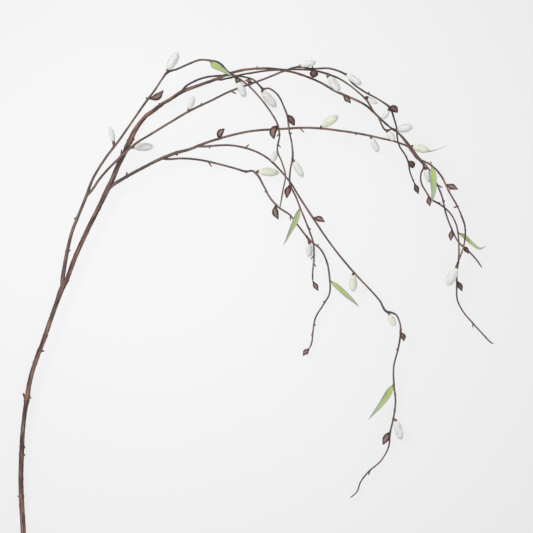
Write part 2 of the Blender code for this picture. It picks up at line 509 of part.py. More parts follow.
def build_stem(name):
    """A stem with everything woody that grows from it."""
    route = STEMS[name]
    start = FORKS[name][1] * MM + TOUCH_GAP if name in FORKS else 0
    sides = STEM_SIDES if name == "main_stem" else TWIG_SIDES
    points, radii = route.rings(start, route.length)
    body = tube(name, points, radii, sides)
    extras = [root_collar(child) for child, (parent, _) in FORKS.items() if parent == name]
    extras += [catkin_cap(number) for number, row in enumerate(CATKINS) if row[0] == name]
    extras += [bud(number) for number, row in enumerate(BUDS) if row[0] == name]
    extras += [spur(name, number) for number in range(len(SPURS[name]))]
    extras += [petiole(number) for number, row in enumerate(LEAVES) if row[0] == name]
    fuse(body, extras)
    trim_at_surface(body)
    finish(body, BARK[name], 0.6)


def build_catkin(number):
    """A silky catkin: an egg shape with staggered tufts and a flat base in its cap."""
    _, _, base, tip, width = CATKINS[number]
    start = place(*base)
    axis = place(*tip) - start
    lean = axis.normalized()
    start += TOUCH_GAP * lean
    length = axis.length - TOUCH_GAP
    side = lean.orthogonal().normalized()
    other = lean.cross(side)
    shape = bmesh.new()
    rings = []
    for ring in range(CATKIN_RINGS):
        t = ring / (CATKIN_RINGS - 0.6)
        half = width * MM / 2 * math.sqrt(1 - ((t - CATKIN_WIDEST) / CATKIN_HALF_SPAN) ** 2)
        row = []
        for segment in range(CATKIN_SEGMENTS):
            angle = math.tau * segment / CATKIN_SEGMENTS
            tuft = 1 + TUFT_RELIEF * (-1) ** (ring + segment) if ring else 1
            out = math.cos(angle) * side + math.sin(angle) * other
            row.append(shape.verts.new(start + t * length * lean + half * tuft * out))
        rings.append(row)
    top = shape.verts.new(start + length * lean)
    shape.faces.new(reversed(rings[0]))
    for lower, upper in zip(rings, rings[1:]):
        for here in range(CATKIN_SEGMENTS):
            ahead = (here + 1) % CATKIN_SEGMENTS
            shape.faces.new((lower[here], lower[ahead], upper[ahead], upper[here]))
    for here in range(CATKIN_SEGMENTS):
        shape.faces.new((rings[-1][here], rings[-1][(here + 1) % CATKIN_SEGMENTS], top))
    bmesh.ops.recalc_face_normals(shape, faces=shape.faces)
    name = f"catkin_{number + 1:02d}"
    mesh = bpy.data.meshes.new(name)
    shape.to_mesh(mesh)
    shape.free()
    finish(new_object(name, mesh), SILK, 0.9, 60)


def build_leaf(number):
    """A narrow blade, cupped along its midrib and pointed at its tip."""
    _, _, midrib, width = LEAVES[number]
    rows = np.array([tuple(place(*spot)) for spot in midrib])
    spots = [Vector(row) for row in smooth(rows, np.linalg.norm(rows[-1] - rows[0]) / LEAF_ROWS)]
    shape = bmesh.new()
    rims = []
    for index, spot in enumerate(spots):
        t = index / (len(spots) - 1)
        before = spots[max(index - 1, 0)]
        after = spots[min(index + 1, len(spots) - 1)]
        across = (after - before).cross(Vector((0, 0, 1))).normalized()
        narrow = LEAF_FOOT_WIDTH + (LEAF_TIP_WIDTH - LEAF_FOOT_WIDTH) * t
        half = max(narrow, width * MM * math.sin(math.pi * t**0.85) ** 0.85) / 2
        raised = Vector((0, 0, LEAF_CAMBER * half * 2))
        rims.append(
            [
                shape.verts.new(spot - half * across + raised),
                shape.verts.new(spot - half * across / 2 + raised / 3),
                shape.verts.new(spot),
                shape.verts.new(spot + half * across / 2 + raised / 3),
                shape.verts.new(spot + half * across + raised),
            ]
        )
    for lower, upper in zip(rims, rims[1:]):
        for here in range(len(lower) - 1):
            shape.faces.new((lower[here], lower[here + 1], upper[here + 1], upper[here]))
    name = f"leaf_{number + 1}"
    mesh = bpy.data.meshes.new(name)
    shape.to_mesh(mesh)
    shape.free()
    blade = new_object(name, mesh)
    finish(blade, LEAF_GREEN, 0.5)
    skin = blade.modifiers.new("Blade thickness", "SOLIDIFY")
    skin.thickness = LEAF_THICKNESS
    skin.offset = 0


for old in list(bpy.data.objects):
    bpy.data.objects.remove(old)

STEMS = {name: Route(stations) for name, stations in ROUTES.items()}

for stem in STEMS:
    build_stem(stem)
for catkin in range(len(CATKINS)):
    build_catkin(catkin)
for leaf in range(len(LEAVES)):
    build_leaf(leaf)
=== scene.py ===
"""Willow twig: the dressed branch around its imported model, as seen lying on a pale table.

Places are (x, y, height). x runs right and y runs down the branch, in steps of GRID_STEP, from the
upper left corner of a square laid over the branch. Height is in millimetres above the table. A
station of a stem has the stem's width in millimetres as its fourth number.
"""

import math

import bpy
import numpy as np
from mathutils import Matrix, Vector
from mathutils.kdtree import KDTree


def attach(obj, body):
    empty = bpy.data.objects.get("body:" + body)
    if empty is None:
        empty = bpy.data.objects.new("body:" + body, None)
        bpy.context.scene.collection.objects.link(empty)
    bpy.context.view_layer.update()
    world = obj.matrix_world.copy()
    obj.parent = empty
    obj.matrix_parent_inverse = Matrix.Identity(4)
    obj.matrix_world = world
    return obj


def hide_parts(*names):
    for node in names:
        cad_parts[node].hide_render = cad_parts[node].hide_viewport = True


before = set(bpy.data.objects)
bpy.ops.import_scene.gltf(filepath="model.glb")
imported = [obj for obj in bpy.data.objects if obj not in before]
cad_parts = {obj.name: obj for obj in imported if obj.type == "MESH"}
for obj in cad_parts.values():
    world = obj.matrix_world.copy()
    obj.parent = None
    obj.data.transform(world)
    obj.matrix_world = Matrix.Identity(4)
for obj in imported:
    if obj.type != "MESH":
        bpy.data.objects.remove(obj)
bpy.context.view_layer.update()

bl_info = {
    "name": "Willow twig",
    "version": (1, 0, 0),
    "blender": (4, 5, 0),
    "location": "3D View > Sidebar > Willow twig",
    "description": "Grows bark, buds, silky catkins and leaves on a packed willow branch",
    "category": "Object",
}

GRID_STEP = 0.0013
MM = 0.001
CENTRE_X = 256.3
CENTRE_Y = 320.8
FINE_STEP = 0.0004
FLOOR_GAP = 0.00002
SMOOTH_ANGLE = math.radians(50)
GOLDEN_ANGLE = 2.39996
FULL_TURN = 6.28

# Sides of the round pieces
STEM_SIDES = 18
TWIG_SIDES = 12
SPUR_SIDES = 8
CATKIN_SIDES = 24
BUD_SIDES = 14

# Grain sizes of the bark's relief with their shares of its depth, and how rough old and young bark is
RELIEF_GRAINS = ((0.006, 1.2), (0.0016, 1))
OLD_ROUGHNESS = 1.6
YOUNG_ROUGHNESS = 0.8

# Where along a stem its three shades lie, and how far the bark's lines are drawn out along it
SHADE_PLACES = (0.08, 0.5, 0.92)
LINE_SHRINK = 0.12

# How deep the cut wood sits in the stem, and how far it stands out
CUT_DEPTH = 0.001
CUT_PROUD = 0.0004

# A swelling where something grows from a stem, the neck behind it, and the taper of a stem's end
JOINT_REACH = 0.0022
NECK_PLACE = 0.0042
NECK_REACH = 0.0012
NECK_DEPTH = 0.06
TIP_TAPER = (0.92, 0.75, 0.4)

# Radii along a spur against its own radius, and along a leaf's stalk in metres
SPUR_TAPER = (1.1, 1, 0.95, 0.88, 0.8, 0.66, 0.4)
STALK_RADII = (0.0011, 0.0011, 0.001, 0.0009, 0.0008, 0.00075, 0.0007, 0.0005)
STALK_INSIDE_LEAF = 0.0016

# How far a spur's end is above its foot in millimetres, and how far the spur arches up in metres
SPUR_RISE = 0.3
SPUR_ARCH = 0.0002

# A catkin's body against its length of 1, and how a hair stands on it
SILK_WIDEST = 0.48
SILK_HALF_SPAN = 0.53
SILK_RADIUS = 0.82
SILK_RINGS = (0.0, 0.03, 0.08, 0.16, 0.25, 0.35, 0.45, 0.55, 0.65, 0.75, 0.84, 0.91, 0.96, 0.99)
HAIR_HALF_WIDTH = 0.007
HAIR_DEPTH = 0.006
HAIR_ROOT = 0.01
COAT_START = 0.02
COAT_SPAN = 0.94
HEIGHT_SCATTER = 0.06
SWING_SCATTER = 1.1
HAIR_LEAN = 0.65
LEAN_SCATTER = 0.35
HAIR_MARKS = [0.4, 0.4, 0.45, 1]

# A leaf's blade: its narrowest width in metres at its foot and how much of it goes towards its tip,
# and shares of its half width or counts of its waves
LEAF_STEPS = 42
LEAF_FOOT_WIDTH = 0.0012
LEAF_NARROWING = 0.0009
LEAF_CUP = 0.26
LEAF_WAVE = 0.22
LEAF_GROOVE = 0.05
WAVE_PACE = 11
TEETH_PACE = 95

# Rows of a height and a radius for a bud's outer scale, for a catkin's cap and for the cut wood
SCALE_ROWS = ((0.05, 0.3), (0.18, 0.4), (0.3, 0.8), (0.42, 1), (0.53, 1), (0.62, 0.9))
CAP_ROWS = ((0, 0.75), (0.15, 0.66), (0.32, 0.7), (0.5, 0.86), (0.66, 0.98), (0.8, 1), (0.92, 0.94),
            (1, 0.86), (1.02, 0.8), (0.98, 0.72), (0.88, 0.7))
CUT_ROWS = ((0, 0.93), (0.5, 0.93), (0.62, 0.8), (0.56, 0.5), (0.66, 0.2), (0.5, 0.08))

# Colours that stay as they are
RUSSET = (0.32, 0.10, 0.06)
SILK_FOOT = (0.78, 0.72, 0.62)
CREAM_SHADE = (0.77, 0.79, 0.62)
CREAM_FOOT = (0.77, 0.74, 0.56)
RIPE_LEAF = ((0.50, 0.50, 0.16), (0.52, 0.50, 0.28))
GREY_LEAF = (0.38, 0.42, 0.33)
WOOD_STOPS = ((0, (0.12, 0.06, 0.03)), (0.2, (0.5, 0.36, 0.2)), (1, (0.62, 0.48, 0.3)))
WOOD_RING = (0.34, 0.22, 0.12)
TABLE_GREY = (0.085, 0.085, 0.085)
# The table's glow near and far from the middle of its painted pool of light
NEAR_GLOW = (0.84, 0.84, 0.84)
FAR_GLOW = (0.72, 0.72, 0.72)
SKY = (0.95, 0.97, 1)

# The stage: the table, the middle of its glow, the lights and the camera
TABLE_SIZE = 60
GLOW_CENTRE = (-0.16, 0.16, 0)
SKY_STRENGTH = 0.71
LIGHTS = (("window", (-3.4, 3.2, 4), 2.4, 180), ("fill", (3, -2, 5), 3, 40))
LENS = 400
SENSOR = 36
VIEW_WIDTH = 0.6929
VIEW_MIDDLE = 266.5
FOCUS_HEIGHT = 0.022

ROUTES = {
    "main_stem": (
        (22.7, 587, 3.1, 6.9), (22.8, 533, 5, 6.8), (21.2, 505, 6, 6.7), (20.5, 475, 7.5, 6.6),
        (21.2, 453, 8.5, 6.4), (22.5, 430, 9.5, 5.9), (24.8, 410, 10.2, 5.9), (26.8, 398, 10.8, 7.2),
        (28.2, 388, 11.2, 6.3), (32.5, 370, 12, 6), (37.6, 355, 12.6, 6), (43.5, 340, 13, 6),
        (50.3, 320, 13.6, 6), (57.5, 300, 14, 6.2), (61.5, 289, 14.2, 7.2), (66.3, 280, 14.4, 6.2),
        (73.8, 260, 14.8, 6), (87.3, 230, 15.2, 6.1), (102.3, 200, 15, 6.3), (106, 192, 14.8, 6.9),
        (111, 182, 14.2, 6.5), (119, 163, 11.9, 6.6), (125, 151, 9.6, 6.8), (129.5, 141, 7.2, 7.2),
        (134.3, 131, 5, 6.6), (141, 121, 3, 5.6), (146, 115.5, 2.45, 5.4), (155, 109, 3.4, 5.2),
        (163, 103, 5.8, 4.7), (170, 99, 8.2, 4.5), (181, 92, 11.8, 4.8), (200, 84.8, 16.6, 4),
        (217, 78.8, 20.4, 4), (228, 74, 22.6, 3.6), (240, 70.7, 24.6, 3.3), (257, 68.7, 26.6, 3.1),
        (280, 69.7, 28.2, 3), (300, 74.5, 28.8, 3), (320, 82.5, 29, 2.9), (337, 92, 29, 3),
        (350, 97.5, 29, 2.9), (365, 105, 28.8, 2.8), (380, 118.5, 28, 2.8), (390, 127.5, 27.2, 2.8),
        (398, 133, 26.6, 2.7), (411, 147.5, 26.8, 2.6), (421, 160, 27.4, 2.5), (430, 164.5, 28, 2.5),
        (440, 174.5, 28.6, 2.5), (448.5, 191, 28, 2.4), (459, 210, 26, 2.3), (465.3, 230, 23.4, 2.2),
        (465.2, 237, 21.8, 2.1), (463, 249, 16.5, 2.1), (459, 260, 11, 2), (455, 270, 8.8, 1.9),
        (451.5, 285.5, 7, 1.5),
    ),
    "outer_arch_twig": (
        (61.8, 290, 14.2, 4.6), (62.3, 280, 15.6, 5.4), (63.8, 270, 17, 5.3), (67.5, 250, 19.4, 4.8),
        (72.6, 230, 21, 4.3), (77.6, 217.5, 21.6, 4.2), (80.7, 210, 21.8, 3.9),
        (86.3, 196.3, 22.4, 4.2), (92.4, 180, 23.4, 3.4), (104.3, 160, 25.2, 3.2),
        (119.5, 140, 27.8, 3), (133.5, 120, 30, 2.8), (147.6, 100, 32.4, 3), (155.2, 90, 33.6, 2.7),
        (161.9, 80, 34.8, 2.6), (167.3, 72.9, 36, 3.2), (177, 69.6, 37, 2.7), (190, 63.9, 38.2, 2.6),
        (200, 60.4, 39, 2.6), (209, 60.8, 39.6, 2.6), (219, 63.1, 40, 2.6), (228.4, 72.3, 40.4, 2.5),
        (236, 77, 40.4, 2.8), (247.7, 85.4, 39.8, 2.4), (259.8, 97.9, 38.6, 2.3),
        (269.8, 111, 37.6, 2.2), (277.8, 125.4, 36.4, 2.4), (279.5, 135, 35.4, 2.2),
        (277.3, 150, 34, 2.1), (282.3, 163.5, 32.6, 2), (285.4, 175, 31.4, 2), (283, 190, 30, 1.9),
        (279.8, 208.5, 28, 1.6),
    ),
    "inner_arch_twig": (
        (86.3, 196.4, 22.4, 3.4), (92, 190, 22.4, 3.3), (98.8, 180, 22.2, 3.2),
        (107.2, 170, 21.8, 3.1), (117.3, 160, 21.4, 3.1), (129, 149, 21.2, 3),
        (136, 143.3, 21.2, 2.9), (150, 134.7, 21.8, 2.8), (170, 122.5, 23.6, 2.8),
        (190, 110.8, 25.4, 3), (210, 101.3, 27.2, 2.7), (229, 92, 29, 2.7), (249, 84.6, 31.4, 2.7),
        (265, 79, 35.4, 2.5), (275, 75, 38.8, 2.5), (284, 71.5, 41.4, 2.5), (299, 67.5, 44, 2.7),
        (311, 69.3, 44.8, 2.6), (330, 69.2, 45.4, 2.4), (340, 72.3, 45.6, 2.4),
        (345.5, 75.2, 45.6, 2.6), (352, 83.5, 45, 2.3), (363, 91.5, 44.2, 2.4), (380, 101, 43, 2.3),
        (389, 107.5, 41, 2.8), (394, 119, 31, 2.2), (396.8, 129, 20.5, 2.1),
        (397.5, 138.3, 14.5, 2.1), (400, 146.7, 12.6, 2.1), (405, 154.2, 11.8, 2.1),
        (408, 160.5, 11.4, 2.3), (410.4, 172.5, 10.4, 2), (415, 183.8, 9.4, 2),
    ),
    "lower_branch": (
        (106.3, 191.3, 14.7, 4.4), (112, 185.5, 14.6, 4.4), (120, 180.3, 14.4, 4.3),
        (130, 174.5, 14.2, 4.1), (145, 166.5, 14.2, 4), (160, 159, 14.4, 4.2),
        (176, 152.8, 14.8, 4.3), (190, 149, 15.2, 3.7), (197.5, 146, 15.6, 3.8),
        (210, 141.3, 16.4, 3.3), (220, 138.3, 17, 3.3), (230, 135.5, 17.8, 3.1),
        (250, 131.3, 19.2, 3), (280, 129, 20.8, 2.9), (310, 127.8, 21.8, 2.9),
        (340, 130.7, 22.2, 2.8), (360, 133.8, 22.2, 2.8), (380, 138, 21.8, 2.6),
        (398, 142.5, 21.2, 2.5), (409, 147.5, 20.8, 2.5), (416, 157.5, 20.4, 2.3),
        (425, 164.5, 19.8, 2.3), (435.5, 181, 18, 2.3), (442, 196, 16.2, 2.3),
        (446, 213, 14, 2.2), (452, 229, 12, 2.1), (460, 243.5, 10.4, 2.1),
        (466, 248.5, 9.8, 2.2), (475, 257.5, 9, 2), (483, 268.5, 8, 1.6),
    ),
    "long_hanging_twig": (
        (197, 146.2, 15.6, 2.8), (203, 146.5, 15.8, 2.8), (210, 146, 16, 2.8), (220, 145.2, 16.4, 2.6),
        (230, 145.2, 16.8, 2.6), (245, 147.8, 17.6, 2.7), (260, 153.5, 18.8, 2.5),
        (268, 158.5, 19.4, 2.6), (280, 170, 20, 2.5), (290, 182, 20, 2.5), (300, 198, 20, 2.4),
        (313, 218, 19.6, 2.8), (330, 243, 19, 2.4), (350, 268, 18, 2.6), (360, 279, 17.4, 2.4),
        (380, 301, 15.8, 2.4), (387.5, 312, 15.2, 3), (391.5, 312.6, 15, 2.8), (395, 314, 14.8, 2.4),
        (400, 323, 14.4, 2.2), (400.6, 334, 14, 2.6), (398, 350, 13.4, 2.3), (394, 366, 12.8, 2.2),
        (394, 384, 12.2, 2.5), (395.7, 402, 11.4, 2.3), (393.5, 419, 10.4, 2.5),
        (390.5, 432, 9.6, 2.4), (388.5, 448, 8.6, 2), (382, 460, 7.8, 2), (367, 474, 6.6, 2),
        (360.5, 483, 5.8, 1.9), (357, 492.5, 5.2, 1.8), (350.5, 498.3, 4.6, 1.5),
    ),
    "low_hanging_twig": (
        (161, 158.6, 14.4, 2.8), (170, 159, 13, 2.8), (180, 158.3, 11.8, 2.7), (200, 159.8, 9.8, 2.7),
        (220, 164.2, 8.8, 2.6), (236, 168.5, 8.4, 2.5), (246, 171.3, 8.4, 2.8),
        (253, 170.9, 8.6, 2.7), (257, 174.3, 8.6, 3), (263, 184.5, 8.4, 2.4), (270, 197.5, 8.4, 2.4),
        (279, 207.5, 8.4, 2.7), (290, 215, 8.6, 2.4), (297, 224, 9, 2.3), (312, 242, 9.4, 2.3),
        (320, 248.5, 9.4, 2.3), (325.5, 258, 9.2, 2.2), (329.7, 278, 8.6, 2.4), (329.5, 294, 8, 2.2),
        (323, 305.5, 7.4, 2.1), (316, 317, 7, 2.1), (313, 332, 6.6, 2.1), (311.5, 344, 6.2, 2),
        (309, 349.5, 6, 2),
    ),
    "middle_hanging_twig": (
        (181, 91.8, 11.8, 2.8), (186, 86, 12.6, 2.8), (195, 80.8, 13.2, 2.7), (205, 77.2, 13.8, 2.6),
        (218, 75.6, 14.4, 2.5), (233, 75.3, 15, 2.5), (245, 77, 15.8, 2.4), (254, 80, 16.6, 2.4),
        (260, 86, 17.4, 2.6), (263, 88.8, 17.8, 2.9), (268, 88.2, 18.4, 2.4), (276, 93, 19.8, 2.3),
        (284, 107, 22.6, 2.3), (287.3, 116, 24.2, 2.6), (289, 130, 26.6, 2.3), (292, 145, 27.4, 2.3),
        (292.6, 158, 27.2, 2.8), (290.3, 170, 26.4, 2.3), (290, 184, 25.2, 2.6),
        (296, 197, 23.8, 2.3), (301, 210, 22.6, 2.4), (308.5, 228.5, 20.8, 2.4),
        (313.3, 243, 19.2, 2.3), (313.9, 260, 17, 2.4), (312.6, 275, 15, 2.1), (313, 282, 14.2, 2.2),
    ),
    "right_hanging_twig": (
        (216, 79.2, 20.2, 2.6), (221, 79.7, 22.6, 2.6), (226, 78.7, 25, 2.5), (232, 77.6, 27.6, 2.4),
        (240, 75.2, 30.6, 2.4), (250, 73.5, 33, 2.4), (265, 71.2, 35, 2.4), (285, 70, 36.2, 2.3),
        (300, 69.8, 36.6, 2.3), (313, 70.8, 36.6, 2.4), (327, 74.2, 36.4, 2.7), (340, 79.5, 36, 2.3),
        (350, 86, 35.8, 2.2), (358, 92.5, 35.6, 2.2), (366, 100, 35.6, 2.5), (373, 111, 35.6, 2.2),
        (378, 117.5, 35.6, 2.2), (386.3, 130.6, 35.4, 2.7), (393.5, 129.2, 35.4, 2.3),
        (399, 134.5, 35.2, 2.2), (405, 142, 35, 2.2), (411.5, 152, 34.6, 2.2), (418, 159, 34, 2.2),
        (423.6, 167, 33, 2.6), (421, 173, 32, 2.2), (420.7, 181, 30.8, 2.1), (426, 192, 28.6, 2.2),
        (431, 199, 27, 2.5), (440, 204.5, 24.8, 2.2), (450, 213, 22.6, 2.1), (456, 224, 21.4, 2.1),
        (458.7, 240, 20, 2.1), (458.6, 260, 18, 2.4), (457.2, 272, 16, 2.1), (457, 285, 13.6, 2.3),
        (457.7, 300, 10.4, 2), (463, 311, 7.8, 2), (473, 323, 5, 2.1), (485, 336, 2.2, 1.9),
        (491, 342.2, 1.1, 1.8), (495, 344.5, 0.72, 1.7),
    ),
}

MAIN, OUTER, INNER, LOWER, LONG, LOW, MIDDLE, RIGHT = ROUTES

# Each catkin's stem, its foot on that stem (x, y), its base, its tip and its width in millimetres
CATKINS = (
    (OUTER, (113.3, 147.8), (113.5, 141, 27.5), (110.5, 128.5, 29), 7.8),
    (OUTER, (167.3, 72.9), (168.5, 69.3, 38.8), (177.5, 54.5, 41.2), 11),
    (MAIN, (127, 147), (134.5, 147, 9.4), (151.5, 146.5, 10), 11.7),
    (INNER, (188.3, 111.8), (188.9, 108.6, 27.4), (193.5, 98, 28.8), 9.1),
    (OUTER, (236, 77), (238.6, 82.4, 38.6), (244.5, 96.5, 37), 10.4),
    (MIDDLE, (262.5, 88.6), (263, 92.2, 18), (275, 106, 19.6), 11.7),
    (INNER, (299, 67.5), (301, 66, 48.2), (314.5, 63.2, 51.4), 8.5),
    (RIGHT, (327.5, 74.4), (329, 77.6, 39.8), (338.5, 91, 41), 11.5),
    (INNER, (345, 75), (346.9, 75.6, 50.8), (360, 84.5, 53.4), 9.1),
    (RIGHT, (364.5, 98.4), (368, 98.6, 37), (376, 103.5, 39), 6.5),
    (INNER, (389, 107.7), (388, 111.5, 42.5), (383, 118.5, 44.5), 7.8),
    (RIGHT, (386.3, 130.6), (387.8, 132.6, 35.8), (393.5, 140, 36.4), 9.1),
    (MAIN, (393, 129.6), (397.8, 129.8, 28.8), (411.5, 127.2, 28.6), 10.2),
    (MAIN, (410.5, 147), (413.3, 147, 29.6), (427.5, 150.5, 31), 9.7),
    (RIGHT, (423.6, 167.2), (425.9, 169.9, 31.9), (429.4, 181.5, 28.4), 9.1),
    (LOWER, (320, 128.5), (322.2, 126, 24.2), (337, 117, 26), 10.2),
    (LOWER, (370.5, 136.2), (371.6, 139, 22), (378, 151, 21), 9.1),
    (LOW, (256, 172.8), (259.3, 171.2, 9.4), (277.5, 172.5, 9.6), 11.7),
    (LONG, (272.4, 162.8), (272.6, 160.8, 24.6), (276.5, 152, 28.4), 9.1),
    (MIDDLE, (292.6, 158.5), (294.5, 162.2, 28.4), (302.4, 176, 28.6), 9.1),
    (LOW, (306.5, 236), (309.6, 244.5, 9.2), (309.5, 256, 9), 9.1),
    (LONG, (354, 272.3), (353, 275.6, 15.6), (353.6, 290.5, 14.6), 9.7),
    (LONG, (388.5, 312.4), (389.6, 315.4, 15), (394.5, 325, 14.6), 8.5),
    (LONG, (393.5, 419), (396.6, 421.8, 11.8), (401, 438.5, 10.4), 9.7),
    (RIGHT, (458.4, 262.5), (456, 268.5, 20.6), (448.5, 284, 22), 11.7),
)

# Each bud's stem, its foot, its belly, its tip and its width in millimetres
BUDS = (
    (OUTER, (148.6, 98.8), (156, 97.4, 32.8), (163.8, 90.5, 33.4), 7.8),
    (LOWER, (219, 138.4), (220.4, 133.4, 17.6), (224.5, 128.5, 18.6), 6.6),
    (OUTER, (278, 126), (273.8, 131, 36.6), (274, 139.5, 36.4), 7.4),
    (MIDDLE, (287.2, 115), (290.6, 120, 25), (294.5, 126, 26.4), 6.8),
    (MIDDLE, (290, 184.6), (288, 191, 24.6), (286.7, 198.5, 24), 7.4),
    (LOW, (276, 204.6), (275.4, 211, 8.2), (278.5, 219.5, 8), 7.4),
    (LONG, (313, 218), (319, 219, 19.6), (325, 222, 19.6), 6.6),
    (MIDDLE, (313, 281.4), (315.4, 286, 13.8), (318.3, 291, 13.4), 5.6),
    (LOW, (309.4, 348.8), (306.2, 352.2, 5.8), (303, 356, 5.6), 6),
    (LONG, (400.6, 332), (403.2, 337, 14), (404, 341.5, 14), 6),
    (LONG, (390.4, 432.4), (387.4, 438, 9.2), (383, 445, 8.6), 7),
    (INNER, (313, 69.4), (313.4, 73.8, 45.4), (313.2, 78.4, 45.8), 8.4),
    (MAIN, (343, 94.2), (347, 98.6, 29.6), (350.8, 103.5, 30), 6.4),
    (INNER, (389, 107.4), (393.4, 109.6, 41.6), (397.5, 113, 41.8), 7.4),
    (INNER, (408.2, 161), (411.8, 164.4, 11.4), (413.5, 168, 11.2), 6.6),
    (INNER, (414.8, 183.2), (417, 188.4, 9.2), (418.7, 194, 9), 6),
    (MAIN, (445.8, 184.6), (451.6, 187, 28.8), (458, 189.5, 28.8), 6.6),
    (RIGHT, (428.6, 195.8), (429, 201.4, 27), (430, 206.4, 26.6), 5.6),
    (LOWER, (452.3, 229.6), (451.6, 235, 12), (451, 241, 11.6), 5.8),
    (LOWER, (463, 246), (466.6, 249.4, 11.8), (469, 253.8, 12.4), 5.4),
    (RIGHT, (457.1, 280.6), (459.8, 286, 14), (462.5, 291.4, 13.4), 6),
    (INNER, (252.6, 83.4), (249.4, 81.4, 32.4), (244.6, 80.4, 33), 4),
    (INNER, (252.8, 83.2), (250.6, 84.6, 32.6), (247.6, 82.8, 34), 3),
)

# Small spurs, scars and old leaf bases: a foot and an end in the plan, and a width in millimetres
SPURS = {
    MAIN: (
        (25.6, 401, 22.8, 393.4, 4), (27, 397, 31, 398.4, 3.6), (40.4, 352, 44, 351, 3),
        (44.6, 336.6, 48, 335.4, 3), (65.2, 282.4, 68.8, 280.6, 3.2), (21, 497, 17.2, 496.6, 3),
        (21.3, 455, 24.8, 455.4, 4), (21.6, 447, 24.8, 448, 3.4), (129.6, 141, 134.4, 138.6, 3.6),
        (160.6, 104.8, 158.4, 103, 3.2), (257, 68.7, 257, 66, 1.8), (430, 164.5, 431.2, 161.8, 2),
        (448.2, 190.4, 449.6, 189.6, 2.6), (457.4, 206.8, 453.4, 207.6, 2), (461.8, 216.4, 460.4, 217, 2.2),
    ),
    OUTER: (
        (67.4, 251, 70.4, 250.4, 2.8), (77.4, 218.4, 73.8, 218.6, 3), (279.6, 134, 276.6, 136.8, 1.8),
        (278, 144.4, 280.8, 147.8, 1.8), (148, 99.6, 146, 97.6, 2.6),
    ),
    INNER: (
        (121, 156.6, 121.6, 149.4, 2.2), (201, 105.4, 201.6, 103, 2.2), (231, 91.4, 236.6, 94.2, 2),
        (312, 69.4, 312.8, 66.2, 2), (368, 94.2, 369, 92.4, 2.2),
    ),
    LOWER: (
        (126.5, 176.4, 126.8, 171.8, 2.6), (300, 128, 304.2, 132.6, 2), (356, 133.2, 356, 135.4, 2.4),
        (437.4, 185, 442.6, 187.6, 2), (443.2, 200.6, 445.2, 201.4, 2.4), (176, 152.8, 177.4, 155.6, 3.4),
    ),
    LONG: (
        (209.4, 146, 209.6, 148.4, 2.4), (245.4, 147.8, 249, 144.4, 2.2), (400.4, 330, 402.2, 329.6, 2.2),
        (398, 349.6, 396.2, 349.4, 2.2), (394.6, 394, 396.4, 393.8, 2), (395.2, 410, 393.6, 410.6, 2),
        (370.6, 471, 368.4, 475.8, 1.8),
    ),
    LOW: (
        (208, 161.4, 211.6, 166.6, 2.2), (246, 171.3, 246, 173.2, 2.4), (266.4, 191, 264.6, 192, 2.2),
        (290.4, 215.2, 290.4, 220.2, 1.8), (317, 246.2, 319, 244.2, 1.8), (326.8, 264.4, 328.8, 264, 2),
        (326, 301, 322.8, 302.4, 1.8), (314.4, 325, 316, 325.4, 2), (312.6, 335, 311, 335.2, 2),
    ),
    MIDDLE: (
        (289.8, 133.6, 292, 133, 2.2), (308, 227.4, 311.2, 229.8, 1.8), (313.8, 255.4, 310.8, 259.2, 1.8),
        (313.8, 263.4, 316, 267, 1.8),
    ),
    RIGHT: (
        (437, 202.8, 440.8, 203, 1.8), (473, 323, 473.6, 328.2, 1.8),
    ),
}

# Each leaf's stem, its foot on that stem (x, y), places along its midrib and its width in millimetres
LEAVES = (
    (OUTER, (209.6, 60.8),
     ((211, 63.8, 42.4), (218, 67.6, 44.6), (226, 72.6, 45), (233, 77.5, 44)), 10.4),
    (MIDDLE, (300.4, 208.2),
     ((299.2, 209.8, 24), (296, 219, 25.2), (290, 232, 24.2), (283.5, 245.5, 21)), 8.5),
    (LOW, (329.7, 280),
     ((331.6, 281.8, 9.4), (340, 289, 12), (350, 298, 12), (359, 306.5, 9.6)), 8.5),
    (MAIN, (431, 165.3),
     ((431.8, 168, 31), (433, 178, 37), (433.2, 190, 38), (431.5, 203, 35.6)), 9.1),
    (RIGHT, (458.2, 232.6),
     ((459.8, 233.6, 20), (465, 236.8, 17.4), (471.5, 242.8, 16.4), (480, 248.6, 16),
      (486.5, 246, 15)), 6.5),
    (LONG, (394, 384),
     ((392.6, 386, 12.4), (387, 396, 13.6), (378.4, 408, 12), (368.5, 420, 8)), 10.4),
    (LOWER, (409.6, 148.6),
     ((413.6, 149.6, 21.4), (421, 151.6, 20), (434, 150.6, 20.4), (447, 145.3, 22)), 3.4),
)

# How wide a catkin's cap is against the catkin: most are narrow, some are wider
NARROW_CAP = 0.36
WIDE_CAPS = {1: 0.5, 5: 0.74, 8: 0.5, 10: 0.78, 11: 0.55, 12: 0.5, 14: 0.5, 15: 0.46, 21: 0.44}

# How russet, how olive and how dark a cap is, where it isn't the common brown
RUSSET_CAPS = {1: 0.9, 13: 0.4, 20: 0.3, 21: 0.4, 24: 0.6}
OLIVE_CAPS = {5: 0.9, 8: 0.5, 14: 0.4}
DARK_CAPS = {5: 0.25, 10: 0.7, 11: 0.7, 12: 0.4, 15: 0.3, 25: 0.4}

# The catkins that have turned cream
CREAM = (14, 16, 18, 22, 23)

# The catkins whose hairs stand out more than on the rest
FLUFFY = (2, 13, 14, 16, 22, 24, 25)

# How far a catkin's body reaches into its cap, and how far past its measured tip
INSIDE_CAP = 0.0005
PAST_TIP = 0.0006

